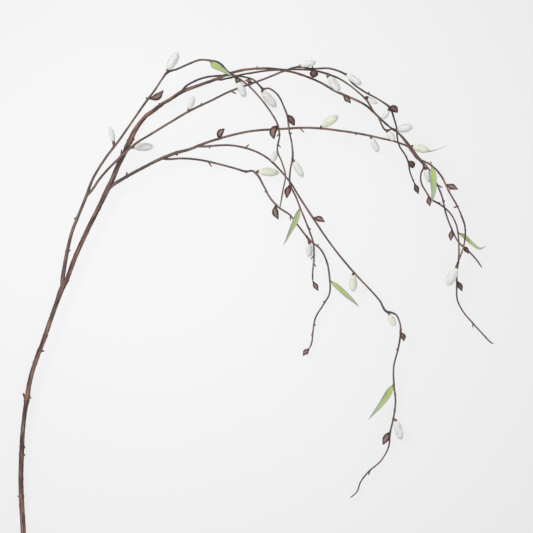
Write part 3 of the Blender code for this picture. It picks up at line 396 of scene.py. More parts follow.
# Rows of a height and a radius for the three shapes of a bud
BUD_SHAPES = {
    "pointed": ((0, 0.3), (0.1, 0.3), (0.2, 0.46), (0.29, 0.74), (0.38, 0.93), (0.48, 1), (0.58, 0.96),
                (0.68, 0.82), (0.77, 0.62), (0.85, 0.42), (0.92, 0.25), (0.97, 0.14), (1, 0.05)),
    "domed": ((0, 0.3), (0.08, 0.38), (0.16, 0.66), (0.25, 0.9), (0.35, 1.02), (0.46, 1.06), (0.58, 1.03),
              (0.69, 0.9), (0.79, 0.7), (0.87, 0.48), (0.94, 0.27), (0.98, 0.14), (1, 0.05)),
    "round": ((0, 0.3), (0.1, 0.32), (0.2, 0.58), (0.3, 0.86), (0.42, 1.06), (0.56, 1.14), (0.7, 1.06),
              (0.82, 0.82), (0.91, 0.54), (0.97, 0.27), (1, 0.08)),
}

# How full and how flat a bud is against its measured width
BUD_FULLNESS = 1.15
BUD_FLATNESS = 0.75

# The buds that aren't of the pointed shape
DOMED_BUDS = (2, 3, 4, 11, 14)
ROUND_BUDS = (12, 15)

# How dark, how olive and how russet a bud is, where it isn't the common brown
DARK_BUDS = {1: 0.2, 4: 0.5, 10: 0.45, 12: 0.45, 14: 0.45, 15: 0.6, 16: 0.55, 20: 0.55, 21: 0.55}
OLIVE_BUDS = {4: 0.4, 6: 0.7, 10: 0.7, 17: 0.2, 22: 0.3}
RUSSET_BUDS = {5: 0.4, 12: 0.45, 14: 0.5, 15: 0.4, 20: 0.3, 23: 0.2}

# How much lighter or darker a stem is than the common bark at its start, its middle and its end
STEM_SHADES = {
    MAIN: (-0.6, -0.1, -0.25),
    OUTER: (0.05, -0.05, 0.15),
    INNER: (0.15, -0.35, -1),
    LOWER: (-0.2, 0.35, 0),
    LONG: (0.1, -0.1, -0.25),
    LOW: (0, 0.15, 0.05),
    MIDDLE: (-0.25, -0.1, 0.3),
    RIGHT: (-0.55, -0.15, 0.05),
}

# Each leaf: where it is widest, how blunt its far end is, how far its blade is rolled, how wide it
# is against its width in the table, how grey and how ripe it is
LEAF_FORMS = (
    (0.2, 1.2, 0, 0.86, 0, 0), (0.25, 1.4, 0.2, 0.88, 0.3, 0), (0.28, 2.4, 0, 0.76, 0, 0.1),
    (0.3, 2.1, 0, 0.95, 0.05, 0), (0.16, 2.2, 0, 0.78, 0, 0.35), (0.26, 1.35, 0, 0.84, 0.05, 0.05),
    (0.3, 1.5, 1.1, 0.9, 0.95, 0),
)


def place(x, y, height):
    """A place of the grid as a point in metres."""
    return Vector(((x - CENTRE_X) * GRID_STEP, (CENTRE_Y - y) * GRID_STEP, height * MM))


def smooth(rows, spacing):
    """Rows along a smooth curve through the given rows, the first three numbers being a place."""
    gaps = np.linalg.norm(np.diff(rows[:, :3], axis=0), axis=1)
    marks = np.concatenate([[0], np.cumsum(gaps)])
    slopes = np.gradient(rows, marks, axis=0)
    spots = np.linspace(0, marks[-1], max(2, round(marks[-1] / spacing)))
    cell = np.clip(np.searchsorted(marks, spots, side="right") - 1, 0, len(gaps) - 1)
    gap = gaps[cell][:, None]
    t = (spots - marks[cell])[:, None] / gap
    start = (2 * t**3 - 3 * t**2 + 1) * rows[cell] + (t**3 - 2 * t**2 + t) * gap * slopes[cell]
    end = (3 * t**2 - 2 * t**3) * rows[cell + 1] + (t**3 - t**2) * gap * slopes[cell + 1]
    return start + end


class Route:
    """The smooth centre line of a stem, with its radius along the way."""

    def __init__(self, stations):
        rows = np.array([(*place(x, y, height), width * MM / 2) for x, y, height, width in stations])
        self.rows = smooth(rows, FINE_STEP)
        steps = np.linalg.norm(np.diff(self.rows[:, :3], axis=0), axis=1)
        self.marks = np.concatenate([[0], np.cumsum(steps)])
        self.length = self.marks[-1]

    def at(self, mark):
        """The point and the radius at a length along the route."""
        row = [np.interp(mark, self.marks, column) for column in self.rows.T]
        return Vector(row[:3]), row[3]

    def foot(self, x, y):
        """The point, the radius and the length where the route comes nearest to a place in the plan."""
        away = np.linalg.norm(self.rows[:, :2] - np.array(place(x, y, 0))[:2], axis=1)
        index = np.argmin(away)
        return Vector(self.rows[index][:3]), self.rows[index][3], self.marks[index]


STEMS = {name: Route(stations) for name, stations in ROUTES.items()}


class Wire:
    """A value in a material's nodes. An expression on wires adds the Math nodes that work it out."""

    def __init__(self, recipe, socket):
        self.recipe = recipe
        self.socket = socket

    def math(self, operation, first, second):
        """The result of a Math node."""
        return self.recipe.add("ShaderNodeMath", {"operation": operation}, {0: first, 1: second})

    def __add__(self, other):
        return self.math("ADD", self, other)

    def __sub__(self, other):
        return self.math("SUBTRACT", self, other)

    def __mul__(self, other):
        return self.math("MULTIPLY", self, other)


class Recipe:
    """A procedural material: its nodes are added one by one, and end in its shader."""

    def __init__(self, name):
        self.material = bpy.data.materials.new(name)
        self.material.use_nodes = True
        self.tree = self.material.node_tree
        self.shader = self.tree.nodes["Principled BSDF"]
        self.spot = self.add("ShaderNodeTexCoord", output="Object")

    def add(self, kind, settings=None, inputs=None, output=0):
        """Add a node with its settings, then the values or links of its sockets; gives one output."""
        node = self.tree.nodes.new(kind)
        for name, value in (settings or {}).items():
            setattr(node, name, value)
        for key, value in (inputs or {}).items():
            self.feed(node.inputs[key], value)
        return Wire(self, node.outputs[output])

    def feed(self, socket, value):
        """Link a wire to a socket, or set the socket to a plain value."""
        if isinstance(value, Wire):
            self.tree.links.new(value.socket, socket)
        else:
            socket.default_value = value

    def noise(self, scale, detail=3, rough=0.5, vector=None):
        """Cloudy values from 0 to 1, with scale as the number of clouds in a metre."""
        inputs = {"Vector": vector or self.spot, "Scale": scale, "Detail": detail, "Roughness": rough}
        return self.add("ShaderNodeTexNoise", {}, inputs)

    def sine(self, value):
        """The sine of a value."""
        return self.add("ShaderNodeMath", {"operation": "SINE"}, {0: value})

    def dots(self, scale, near, far):
        """1 in small round spots and 0 between them."""
        apart = self.add("ShaderNodeTexVoronoi", {}, {"Vector": self.spot, "Scale": scale}, "Distance")
        return self.fit(apart, near, far, 1, 0)

    def fit(self, value, low, high, start=0, end=1):
        """A value carried from one range to another, and kept inside it."""
        inputs = {"Value": value, "From Min": low, "From Max": high, "To Min": start, "To Max": end}
        return self.add("ShaderNodeMapRange", {"clamp": True}, inputs)

    def mix(self, factor, first, second):
        """A colour between two colours."""
        first, second = (value if isinstance(value, Wire) else (*value, 1) for value in (first, second))
        return self.add("ShaderNodeMix", {"data_type": "RGBA"}, {0: factor, 6: first, 7: second}, 2)

    def layers(self, colour, *coats):
        """A colour with more colours laid over it, each by its own factor."""
        for factor, coat in coats:
            colour = self.mix(factor, colour, coat)
        return colour

    def ramp(self, factor, stops):
        """A colour read from a row of stops."""
        colour = self.add("ShaderNodeValToRGB", {}, {"Fac": factor})
        elements = colour.socket.node.color_ramp.elements
        while len(elements) < len(stops):
            elements.new(1)
        for element, (position, shade) in zip(elements, stops):
            element.position = position
            element.color = (*shade, 1)
        return colour

    def attribute(self, name, output="Fac"):
        """A number or a place that the piece carries on its points."""
        return self.add("ShaderNodeAttribute", {"attribute_name": name}, output=output)

    def finish(self, colour, roughness, height=None, depth=0, strength=0):
        """Link what varies to the shader: colour, roughness and relief."""
        self.feed(self.shader.inputs["Base Color"], colour)
        self.feed(self.shader.inputs["Roughness"], roughness)
        if height is not None:
            inputs = {"Height": height, "Distance": depth, "Strength": strength}
            self.feed(self.shader.inputs["Normal"], self.add("ShaderNodeBump", {}, inputs))
        return self.material

    def set_shader(self, **values):
        """Set sockets of the shader that stay the same all over, with _ for a space in a name."""
        for name, value in values.items():
            self.shader.inputs[name.replace("_", " ")].default_value = value


def times(colour, share):
    """A colour made darker or lighter."""
    return [part * share for part in colour]


def bark_finish(name, dark, light, lenticel, olive, contrast):
    """Brown bark: red and olive stretches, dark lines and pale streaks along it, the pale streaks partly
    painted highlight; a painted highlight on its upper side and painted shade on its sides and underside.
    """
    recipe = Recipe(name)
    lengthwise = recipe.attribute("lengthwise", "Vector")
    shade = recipe.attribute("shade")
    patches = recipe.noise(70, 4, 0.6)
    stretches = recipe.noise(16, 2, 0.5)
    grain = recipe.noise(900, 4, 0.65)
    streaks = recipe.noise(1300, 3, 0.6, lengthwise)
    bands = recipe.noise(380, 2, 0.5, lengthwise)
    tone = patches * 0.25 + grain * 0.15 + stretches * 0.2 + streaks * 0.2 + bands * 0.2
    ripe = recipe.fit(recipe.noise(11, 2, 0.5), 0.5, 0.66, 0, 0.7)
    red = recipe.fit(recipe.noise(24, 2, 0.5), 0.5, 0.64, 0, 0.6)
    reddish = (light[0] * 1.15, light[1] * 0.78, light[2] * 0.82)
    streak_and_highlight = (light[0] * 1.75, light[1] * 1.6, light[2] * 1.35)
    warm = recipe.layers(light, (ripe, olive), (red, reddish))
    spots = recipe.dots(260, 0.1, 0.24) * recipe.fit(recipe.noise(120, 1), 0.45, 0.6)
    top = recipe.attribute("top") + (streaks - 0.5) * 0.5
    colour = recipe.layers(
        dark,
        (recipe.fit(tone, 0.4, 0.6), warm),
        (spots * 0.7, lenticel),
        (recipe.fit(shade, 0, -1), times(dark, 0.5)),
        (recipe.fit(shade, 0, 1), times(light, 1.5)),
        # Painted highlight on the bark's upper side and painted shade on its sides and underside, by how
        # far each point faces up
        (recipe.fit(top, 0.6, 1, 0, 0.2), times(light, 1.2)),
        (recipe.fit(top, -0.1, 0.75, 0.7, 0), dark),
        # Dark lines and pale streaks along the bark; the pale streaks are partly its own striping and
        # partly painted highlight
        (recipe.fit(bands, 0.38, 0.47, 0.85 * contrast, 0), dark),
        (recipe.fit(bands, 0.54, 0.63, 0, 0.6 * contrast), streak_and_highlight),
    )
    height = streaks * 0.6 + grain * 0.4 + spots * 0.6 + patches * 0.3
    return recipe.finish(colour, recipe.fit(grain, 0.3, 0.7, 0.5, 0.8), height, 0.0005, 0.7)


def bud_finish(name, dark, light, olive):
    """Bud scales: dark at the foot and the beak, paler on the belly, with painted shade darkening them
    towards their sides, and fine ridges.
    """
    recipe = Recipe(name)
    along = recipe.attribute("along")
    mottle = recipe.noise(420, 3, 0.6)
    belly = recipe.fit(along, 0.16, 0.42) * recipe.fit(along, 0.66, 0.92, 1, 0)
    # Painted shade: the scales darken towards their sides, round the outline seen from above
    crest = recipe.fit(recipe.attribute("sideways") + (mottle - 0.5) * 0.4, 0.2, 0.72, 1, 0)
    pale = recipe.layers(light, (recipe.attribute("olive"), olive), (recipe.attribute("russet"), RUSSET))
    colour = recipe.layers(dark, (belly * crest, pale), (recipe.attribute("shade"), dark))
    recipe.set_shader(Specular_IOR_Level=0.35)
    return recipe.finish(colour, recipe.fit(mottle, 0.3, 0.7, 0.45, 0.65), mottle, 0.0003, 0.5)


def silk_finish(name, white, shade, foot):
    """Silk: fine streaks along the hairs, a little shaded between them and warmer at the foot."""
    recipe = Recipe(name)
    streaks = recipe.noise(9, 3, 0.6, recipe.attribute("lengthwise", "Vector"))
    mottle = recipe.noise(260, 2, 0.5)
    tone = recipe.attribute("out") + (streaks - 0.5) * 0.6 + (mottle - 0.5) * 0.4
    low = recipe.fit(recipe.attribute("along"), 0, 0.3, 0.3, 0)
    colour = recipe.layers(shade, (recipe.fit(tone, 0, 0.7), white), (low, foot))
    recipe.set_shader(Sheen_Weight=0.4, Sheen_Roughness=0.6, Specular_IOR_Level=0.1)
    return recipe.finish(colour, recipe.fit(streaks, 0.3, 0.7, 0.8, 1))


def leaf_finish(name, green, middle, edge, tip):
    """A leaf: bright down its middle, sage at its edges and towards its tip, with side veins."""
    recipe = Recipe(name)
    across = recipe.attribute("across")
    mottle = recipe.noise(320, 3, 0.6)
    along = recipe.attribute("along") + (mottle - 0.5) * 0.2
    side = across + (mottle - 0.5) * 0.3
    bright = recipe.fit(side, 0.2, 0.7, 1, 0) * recipe.fit(along, 0.35, 0.72, 1, 0)
    veins = recipe.sine((along * 26 - across * 2.2) * FULL_TURN)
    rib = recipe.fit(across, 0.03, 0.12, 1, 0)
    colour = recipe.layers(
        recipe.ramp(along, ((0, green), (0.1, middle), (0.75, middle), (1, tip))),
        (bright, green),
        (recipe.attribute("ripe"), recipe.mix(recipe.fit(mottle, 0.3, 0.7), *RIPE_LEAF)),
        (rib * 0.4, [min(1, part) for part in times(green, 1.35)]),
        (recipe.fit(veins, 0.6, 1, 0, 0.2), edge),
        (recipe.fit(side, 0.82, 1, 0, 0.75), edge),
        (recipe.attribute("grey"), GREY_LEAF),
    )
    recipe.set_shader(Specular_IOR_Level=0.22)
    height = rib * 0.8 + veins * 0.15 + mottle * 0.3
    return recipe.finish(colour, recipe.fit(mottle, 0.3, 0.7, 0.48, 0.68), height, 0.0004, 0.5)


def wood_finish(name):
    """The pale cut wood at the foot of the stem: growth rings round a brown pith."""
    recipe = Recipe(name)
    along = recipe.attribute("along")
    grain = recipe.noise(1500, 3, 0.6)
    rings = recipe.sine(along * 44 + grain * 4)
    colour = recipe.mix(recipe.fit(rings, 0, 1, 0, 0.35), recipe.ramp(along, WOOD_STOPS), WOOD_RING)
    return recipe.finish(colour, recipe.fit(grain, 0.3, 0.7, 0.6, 0.9), rings + grain, 0.0002, 0.4)


def deselect():
    """Leave edit mode with nothing selected, so that an operator acts on new work alone."""
    if bpy.context.object and bpy.context.object.mode != "OBJECT":
        bpy.ops.object.mode_set(mode="OBJECT")
    bpy.ops.object.select_all(action="DESELECT")


def pick(*pieces):
    """Select the pieces alone, with the first one active."""
    deselect()
    for piece in pieces:
        piece.select_set(True)
    bpy.context.view_layer.objects.active = pieces[0]


def edit_all():
    """Enter edit mode with the whole of the active piece selected."""
    bpy.ops.object.mode_set(mode="EDIT")
    bpy.ops.mesh.select_all(action="SELECT")


def limb(points, radii, sides):
    """A round solid along the points: a path with its own width at each point, made a mesh."""
    deselect()
    bpy.ops.curve.primitive_nurbs_path_add()
    path = bpy.context.object
    path.data.splines.clear()
    spline = path.data.splines.new("POLY")
    spline.points.add(len(points) - 1)
    spline.points.foreach_set("co", np.column_stack([np.array(points), np.ones(len(points))]).ravel())
    spline.points.foreach_set("radius", np.array(radii))
    path.data.dimensions = "3D"
    path.data.bevel_depth = 1
    path.data.bevel_resolution = (sides - 4) // 2
    path.data.use_fill_caps = True
    bpy.ops.object.convert(target="MESH")
    edit_all()
    bpy.ops.mesh.remove_doubles(threshold=1e-6)
    bpy.ops.mesh.normals_make_consistent(inside=False)
    bpy.ops.object.mode_set(mode="OBJECT")
    return bpy.context.object


def turned(profile, sides):
    """A round shape raised ring by ring from a circle, through rows of a height and a radius."""
    deselect()
    height, radius = profile[0]
    bpy.ops.mesh.primitive_circle_add(
        vertices=sides, radius=radius, fill_type="NGON", location=(0, 0, 0), calc_uvs=False
    )
    edit_all()
    bpy.ops.transform.translate(value=(0, 0, height))
    for upper, wide in profile[1:]:
        bpy.ops.mesh.extrude_region_move(TRANSFORM_OT_translate={"value": (0, 0, upper - height)})
        scale = wide / radius
        bpy.ops.transform.resize(value=(scale, scale, 1), center_override=(0, 0, upper))
        height, radius = upper, wide
    bpy.ops.mesh.select_all(action="SELECT")
    bpy.ops.mesh.normals_make_consistent(inside=False)
    bpy.ops.object.mode_set(mode="OBJECT")
    return bpy.context.object


def joined(parts, name):
    """The parts as one piece."""
    pick(*parts)
    bpy.ops.object.join()
    parts[0].name = name
    return parts[0]


def tint(piece, number, **tables):
    """Give a piece the tints that its number has in some tables, for its material to read."""
    for name, table in tables.items():
        mark(piece, name, np.full(len(piece.data.vertices), table.get(number, 0)))


def corners(piece):
    """The places of a piece's points, as rows."""
    rows = np.empty(len(piece.data.vertices) * 3)
    piece.data.vertices.foreach_get("co", rows)
    return rows.reshape(-1, 3)


def move_corners(piece, rows):
    """Put a piece's points at the given places."""
    piece.data.vertices.foreach_set("co", np.asarray(rows).ravel())
    piece.data.update()


def lift_off(piece):
    """Keep a piece's points just above the table; gives their places."""
    rows = corners(piece)
    rows[:, 2] = np.maximum(rows[:, 2], FLOOR_GAP)
    move_corners(piece, rows)
    return rows


def mark(piece, name, values):
    """Give a piece one number, or one place, on each of its points, for its material to read."""
    values = np.asarray(values, float)
    kind, part = ("FLOAT", "value") if values.ndim == 1 else ("FLOAT_VECTOR", "vector")
    layer = piece.data.attributes.get(name) or piece.data.attributes.new(name, kind, "POINT")
    layer.data.foreach_set(part, values.ravel())


def read_along(rows, marks, spots):
    """Rows read between the given rows, which lie at the marks, at some spots along them."""
    return np.column_stack([np.interp(spots, marks, column) for column in rows.T])


def lay_out(ahead):
    """Unit directions to the right of a way and above it, from its directions ahead."""
    ahead = ahead / np.linalg.norm(ahead, axis=1)[:, None]
    side = np.cross(ahead, (0, 0, 1))
    side /= np.linalg.norm(side, axis=1)[:, None]
    return side, np.cross(side, ahead)


def laid(shape, path, width, flat=1, turn=0, hand=1):
    """A copy of a shape modelled upright, laid along a path: its heights 0 to 1 run along it.

    Its first side lies flat to the right of the path, or to the left where hand is -1. To the right
    the shape comes out mirrored, so its faces are turned outward again.
    """
    copy = shape.copy()
    copy.data = shape.data.copy()
    bpy.context.scene.collection.objects.link(copy)
    rows = corners(copy)
    path = np.array(path)
    gaps = np.linalg.norm(np.diff(path, axis=0), axis=1)
    marks = np.concatenate([[0], np.cumsum(gaps)]) / gaps.sum()
    slopes = np.gradient(path, marks, axis=0)
    heights = rows[:, 2]
    inside = np.clip(heights, 0, 1)
    ahead = read_along(slopes, marks, inside)
    centre = read_along(path, marks, inside) + (heights - inside)[:, None] * ahead
    side, above = lay_out(ahead)
    x = rows[:, 0] * math.cos(turn) - rows[:, 1] * math.sin(turn)
    y = rows[:, 0] * math.sin(turn) + rows[:, 1] * math.cos(turn)
    move_corners(copy, centre + width / 2 * (hand * x[:, None] * side + flat * y[:, None] * above))
    if hand > 0:
        pick(copy)
        edit_all()
        bpy.ops.mesh.flip_normals()
        bpy.ops.object.mode_set(mode="OBJECT")
    return copy


def dress(piece, name, material, slot, *nodes):
    """Name a finished piece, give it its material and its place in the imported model."""
    piece.name = name
    piece.data.name = name
    piece.data.materials.clear()
    piece.data.materials.append(material)
    pick(piece)
    bpy.ops.object.shade_smooth_by_angle(angle=SMOOTH_ANGLE)
    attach(piece, "root")
    if nodes:
        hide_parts(*nodes)


def remove(*shapes):
    """Delete shapes that were only copied from."""
    for shape in shapes:
        bpy.data.objects.remove(shape)


def bend(start, elbow, end, count=12):
    """Points of a smooth bend from one point to another, drawn towards an elbow."""
    steps = [number / (count - 1) for number in range(count)]
    return [start.lerp(elbow, t).lerp(elbow.lerp(end, t), t) for t in steps]


def feet_on(name):
    """The lengths along a stem at which buds, catkins, leaves and spurs stand on it."""
    spots = [row[1] for row in CATKINS + BUDS + LEAVES if row[0] == name]
    spots += [row[:2] for row in SPURS[name]]
    return np.array([STEMS[name].foot(*spot)[2] for spot in spots])


def grow_bark(name, settings):
    """The bark of one stem, with its joints, spurs and leaf stalks."""
    route = STEMS[name]
    main = name == MAIN
    marks = np.arange(0, route.length, settings.ring_spacing)
    spots = [route.at(length) for length in marks]
    feet = feet_on(name)
    radii = np.array([radius for _, radius in spots])
    gaps = marks[:, None] - feet[None, :]
    swelling = np.exp(-((gaps / JOINT_REACH) ** 2)).sum(axis=1).clip(0, 1.2)
    radii *= 1 + settings.joint_swelling * swelling
    neck = np.exp(-(((gaps - NECK_PLACE) / NECK_REACH) ** 2)).sum(axis=1).clip(0, 1)
    radii *= 1 - NECK_DEPTH * neck
    radii[-3:] *= TIP_TAPER
    parts = [limb([point for point, _ in spots], radii, STEM_SIDES if main else TWIG_SIDES)]
    for x, y, end_x, end_y, width in SPURS[name]:
        root = route.foot(x, y)[0]
        end = place(end_x, end_y, root.z / MM + SPUR_RISE)
        way = bend(root, root.lerp(end, 0.5) + Vector((0, 0, SPUR_ARCH)), end, len(SPUR_TAPER))
        parts.append(limb(way, [width * MM / 2 * share for share in SPUR_TAPER], SPUR_SIDES))
    for owner, foot, midrib, _ in LEAVES:
        if owner == name:
            root = route.foot(*foot)[0]
            first, second = (place(*spot) for spot in midrib[:2])
            end = first + STALK_INSIDE_LEAF * (second - first).normalized()
            way = bend(root, root.lerp(first, 0.6), end, len(STALK_RADII))
            parts.append(limb(way, STALK_RADII, SPUR_SIDES))
    piece = joined(parts, name + "_bark")
    roughness = OLD_ROUGHNESS if main else YOUNG_ROUGHNESS
    for size, share in RELIEF_GRAINS:
        grain = bpy.data.textures.new("bark relief", "CLOUDS")
        grain.noise_scale = size
        relief = piece.modifiers.new("Relief", "DISPLACE")
        relief.texture = grain
        relief.texture_coords = "LOCAL"
        relief.mid_level = 0.5
        relief.strength = settings.relief * share * roughness
        bpy.ops.object.modifier_apply(modifier="Relief")
    rows = lift_off(piece)
    tree = KDTree(len(route.rows))
    for index, row in enumerate(route.rows):
        tree.insert(row[:3], index)
    tree.balance()
    nearest = [tree.find(row)[1] for row in rows]
    lengths = route.marks[nearest]
    mark(piece, "shade", np.interp(lengths / route.length, SHADE_PLACES, STEM_SHADES[name]))
    ahead = np.gradient(route.rows[:, :3], axis=0)[nearest]
    ahead /= np.linalg.norm(ahead, axis=1)[:, None]
    side = np.cross(ahead, (0, 0, 1))
    above = np.cross(side, ahead)
    away = rows - route.rows[nearest][:, :3]
    across = [(away * axis).sum(axis=1) for axis in (side, above)]
    mark(piece, "lengthwise", np.column_stack([*across, LINE_SHRINK * lengths]))
    # How far each point of the bark faces up, read by the bark's painted highlight and painted shade
    mark(piece, "top", across[1] / np.hypot(*across).clip(1e-6))
    return piece


def hair_tufts(seed, count, per_tuft, length):
    """Points, faces and hair heights of a catkin's coat, in tufts on a spiral round it.

    The catkin stands upright from height 0 to 1, with a radius of 1 at the ends of its hairs. Each
    hair is a thin flat pyramid with its broad side outward. Its height is the number that its points
    carry, from 0.4 at its foot to 1 at its end.
    """
    chance = np.random.default_rng(seed)
    points = []
    faces = []
    heights = []
    for tuft in range(count):
        for _ in range(per_tuft):
            t = COAT_START + COAT_SPAN * (tuft + 0.5) / count + chance.normal(0, HEIGHT_SCATTER)
            t = float(np.clip(t, 0, 0.97))
            swing = tuft * GOLDEN_ANGLE + chance.normal(0, SWING_SCATTER)
            outward = np.array((math.cos(swing), math.sin(swing), 0))
            across = np.array((-outward[1], outward[0], 0)) * HAIR_HALF_WIDTH
            slope = (silk_radius(min(0.98, t + 0.02)) - silk_radius(t)) / 0.02
            foot = outward * (silk_radius(t) - HAIR_ROOT) + (0, 0, t)
            reach = length * (0.6 + 0.8 * chance.random())
            spread = HAIR_LEAN + chance.normal(0, LEAN_SCATTER)
            tip = foot + reach * (outward * (0.6 * slope + spread) + (0, 0, 1))
            tip += chance.normal(0, 0.02, 3) * (1, 1, 0.3)
            first = len(points)
            points += [foot - across, foot + across, foot - outward * HAIR_DEPTH, tip]
            faces += [(first, first + 2, first + 1), (first, first + 1, first + 3)]
            faces += [(first + 1, first + 2, first + 3), (first + 2, first, first + 3)]
            heights += HAIR_MARKS
    return points, faces, heights


def silk_radius(t):
    """The radius of a catkin's body at a height from 0 to 1."""
    return SILK_RADIUS * math.sqrt(max(0.0, 1 - (abs(t - SILK_WIDEST) / SILK_HALF_SPAN) ** 2.2))


def model_catkin(seed, settings):
    """An upright catkin: a body of staggered scales with its coat of hairs."""
    body = turned([(t, max(0.06, silk_radius(t))) for t in SILK_RINGS], CATKIN_SIDES)
    rows = corners(body)
    angle = np.arctan2(rows[:, 1], rows[:, 0])
    scales = 1 + 0.015 * np.sin(5 * angle + 38 * rows[:, 2]) * np.sin(6 * angle - 30 * rows[:, 2])
    rows[:, :2] *= scales[:, None]
    move_corners(body, rows)
    mark(body, "out", np.full(len(rows), 0.45))
    points, faces, outs = hair_tufts(seed, settings.tufts, settings.hairs_in_tuft, settings.hair_length)
    mesh = bpy.data.meshes.new("hairs")
    mesh.from_pydata([tuple(point) for point in points], [], faces)
    hairs = bpy.data.objects.new("hairs", mesh)
    bpy.context.scene.collection.objects.link(hairs)
    mark(hairs, "out", outs)
    whole = joined([body, hairs], f"catkin_model_{seed}")
    mark(whole, "along", np.clip(corners(whole)[:, 2], 0, 1))
    mark(whole, "lengthwise", corners(whole) * (1, 1, 0.5))
    return whole


def soften(catkin, base, tip):
    """Shade a catkin as one soft body, with its hairs turned outward from its axis."""
    rows = corners(catkin)
    start, axis = np.array(base), np.array(tip - base)
    t = ((rows - start) @ axis / (axis @ axis)).clip(0.2, 0.8)
    outward = rows - start - t[:, None] * axis
    outward /= np.linalg.norm(outward, axis=1)[:, None].clip(1e-6)
    catkin.data.normals_split_custom_set_from_vertices([tuple(row) for row in outward])


def model_bud(kind):
    """An upright bud: a core with a beak inside an outer scale that stands open at its lip."""
    heights, radii = np.array(BUD_SHAPES[kind]).T
    core = turned(BUD_SHAPES[kind], BUD_SIDES)
    scale = turned(SCALE_ROWS, BUD_SIDES)
    rows = corners(scale)
    angle = np.arctan2(rows[:, 1], rows[:, 0])
    rows[:, 2] *= 1 + 0.16 * np.cos(angle) * (rows[:, 2] > 0.4)
    wide = np.interp(rows[:, 2], heights, radii) * 1.05 + 0.03
    rows[:, 0] = wide * np.cos(angle)
    rows[:, 1] = wide * np.sin(angle)
    move_corners(scale, rows)
    whole = joined([core, scale], kind + "_bud")
    rows = corners(whole)
    mark(whole, "along", np.clip(rows[:, 2], 0, 1))
    # How far sideways each point lies, read by the painted shade at the bud's sides
    mark(whole, "sideways", np.abs(rows[:, 0]))
    rows[:, 0] += (0.2 if kind == "domed" else 0.1) * np.sin(np.pi * rows[:, 2].clip(0, 1))
    move_corners(whole, rows)
    return whole


def model_cap():
    """An upright cap of a catkin: a stalk that opens into a rounded cup with a two-lobed lip."""
    whole = turned(CAP_ROWS, BUD_SIDES)
    rows = corners(whole)
    mark(whole, "along", np.clip(rows[:, 2] * 0.75, 0, 1))
    # How far sideways each point lies, read by the painted shade at the cap's sides
    mark(whole, "sideways", np.abs(rows[:, 0]))
    rows[:, 2] += 0.1 * np.cos(2 * np.arctan2(rows[:, 1], rows[:, 0])) * (rows[:, 2] - 0.5).clip(0)
    move_corners(whole, rows)
    return whole


def leaf_piece(number, settings):
    """A narrow blade with waved, finely toothed edges, cupped along its midrib."""
    _, _, midrib, width = LEAVES[number]
    rows = np.array([tuple(place(*spot)) for spot in midrib])
    path = smooth(rows, np.linalg.norm(rows[-1] - rows[0]) / LEAF_STEPS)
    deselect()
    bpy.ops.mesh.primitive_grid_add(x_subdivisions=12, y_subdivisions=40, size=2, calc_uvs=True)
    blade = bpy.context.object
    grid = corners(blade)
    t = (grid[:, 1] + 1) / 2
    u = grid[:, 0]
    steps = np.linspace(0, 1, len(path))
    centre = read_along(path, steps, t)
    side, above = lay_out(read_along(np.gradient(path, axis=0), steps, t))
    peak, blunt, roll, slim, grey, ripe = LEAF_FORMS[number]
    rising = np.sqrt((1 - (1 - t / peak).clip(0, 1) ** 2).clip(0, 1))
    falling = 1 - ((t - peak) / (1 - peak)).clip(0, 1) ** blunt
    least = LEAF_FOOT_WIDTH - LEAF_NARROWING * t
    half = np.maximum(least, slim * width * MM * np.where(t < peak, rising, falling)) / 2
    teeth = 1 + settings.leaf_teeth * np.sin(t * TEETH_PACE) * (np.abs(u) > 0.95)
    wave = LEAF_WAVE * half * np.sin(t * WAVE_PACE + number) * u * np.abs(u)
    lift = LEAF_CUP * half * u**2 + wave - LEAF_GROOVE * half * (np.abs(u) < 0.1)
    wide = half * u * teeth
    flat = wide * math.cos(roll) - lift * math.sin(roll)
    steep = wide * math.sin(roll) + lift * math.cos(roll)
    move_corners(blade, centre + flat[:, None] * side + steep[:, None] * above)
    mark(blade, "across", np.abs(u))
    mark(blade, "along", t)
    tint(blade, number, grey={number: grey}, ripe={number: ripe})
    thickness = blade.modifiers.new("Blade thickness", "SOLIDIFY")
    thickness.thickness = settings.leaf_thickness
    thickness.offset = 0
    bpy.ops.object.modifier_apply(modifier="Blade thickness")
    return blade


def number_field(name, description, default, **settings):
    """A length or a share that a user can change."""
    return bpy.props.FloatProperty(name=name, description=description, default=default, **settings)


def count_field(name, description, default, least):
    """A whole number that a user can change."""
    return bpy.props.IntProperty(name=name, description=description, default=default, min=least)


def colour_field(name, description, default):
    """A colour that a user can change."""
    return bpy.props.FloatVectorProperty(
        name=name, description=description, default=default, subtype="COLOR", min=0, max=1
    )


class TwigSizes(bpy.types.PropertyGroup):
    """Sizes of the dressed branch."""

    ring_spacing: number_field(
        "Ring spacing", "Distance between a stem's rings of points", 0.0015, min=0.0005, unit="LENGTH"
    )
    joint_swelling: number_field(
        "Joint swelling", "How much a stem thickens where something grows from it", 0.12, subtype="FACTOR"
    )
    relief: number_field("Bark relief", "Depth of the bark's roughness", 0.00035, unit="LENGTH")
    tufts: count_field("Tufts", "Number of hair tufts on a catkin", 110, 10)
    hairs_in_tuft: count_field("Hairs in a tuft", "Number of hairs in one tuft", 7, 1)
    hair_length: number_field(
        "Hair length", "Length of a hair as a share of its catkin's", 0.17, subtype="FACTOR"
    )
    leaf_thickness: number_field("Leaf thickness", "Thickness of a leaf's blade", 0.0004, unit="LENGTH")
    leaf_teeth: number_field("Leaf teeth", "How far a leaf's teeth stand out", 0.06, subtype="FACTOR")


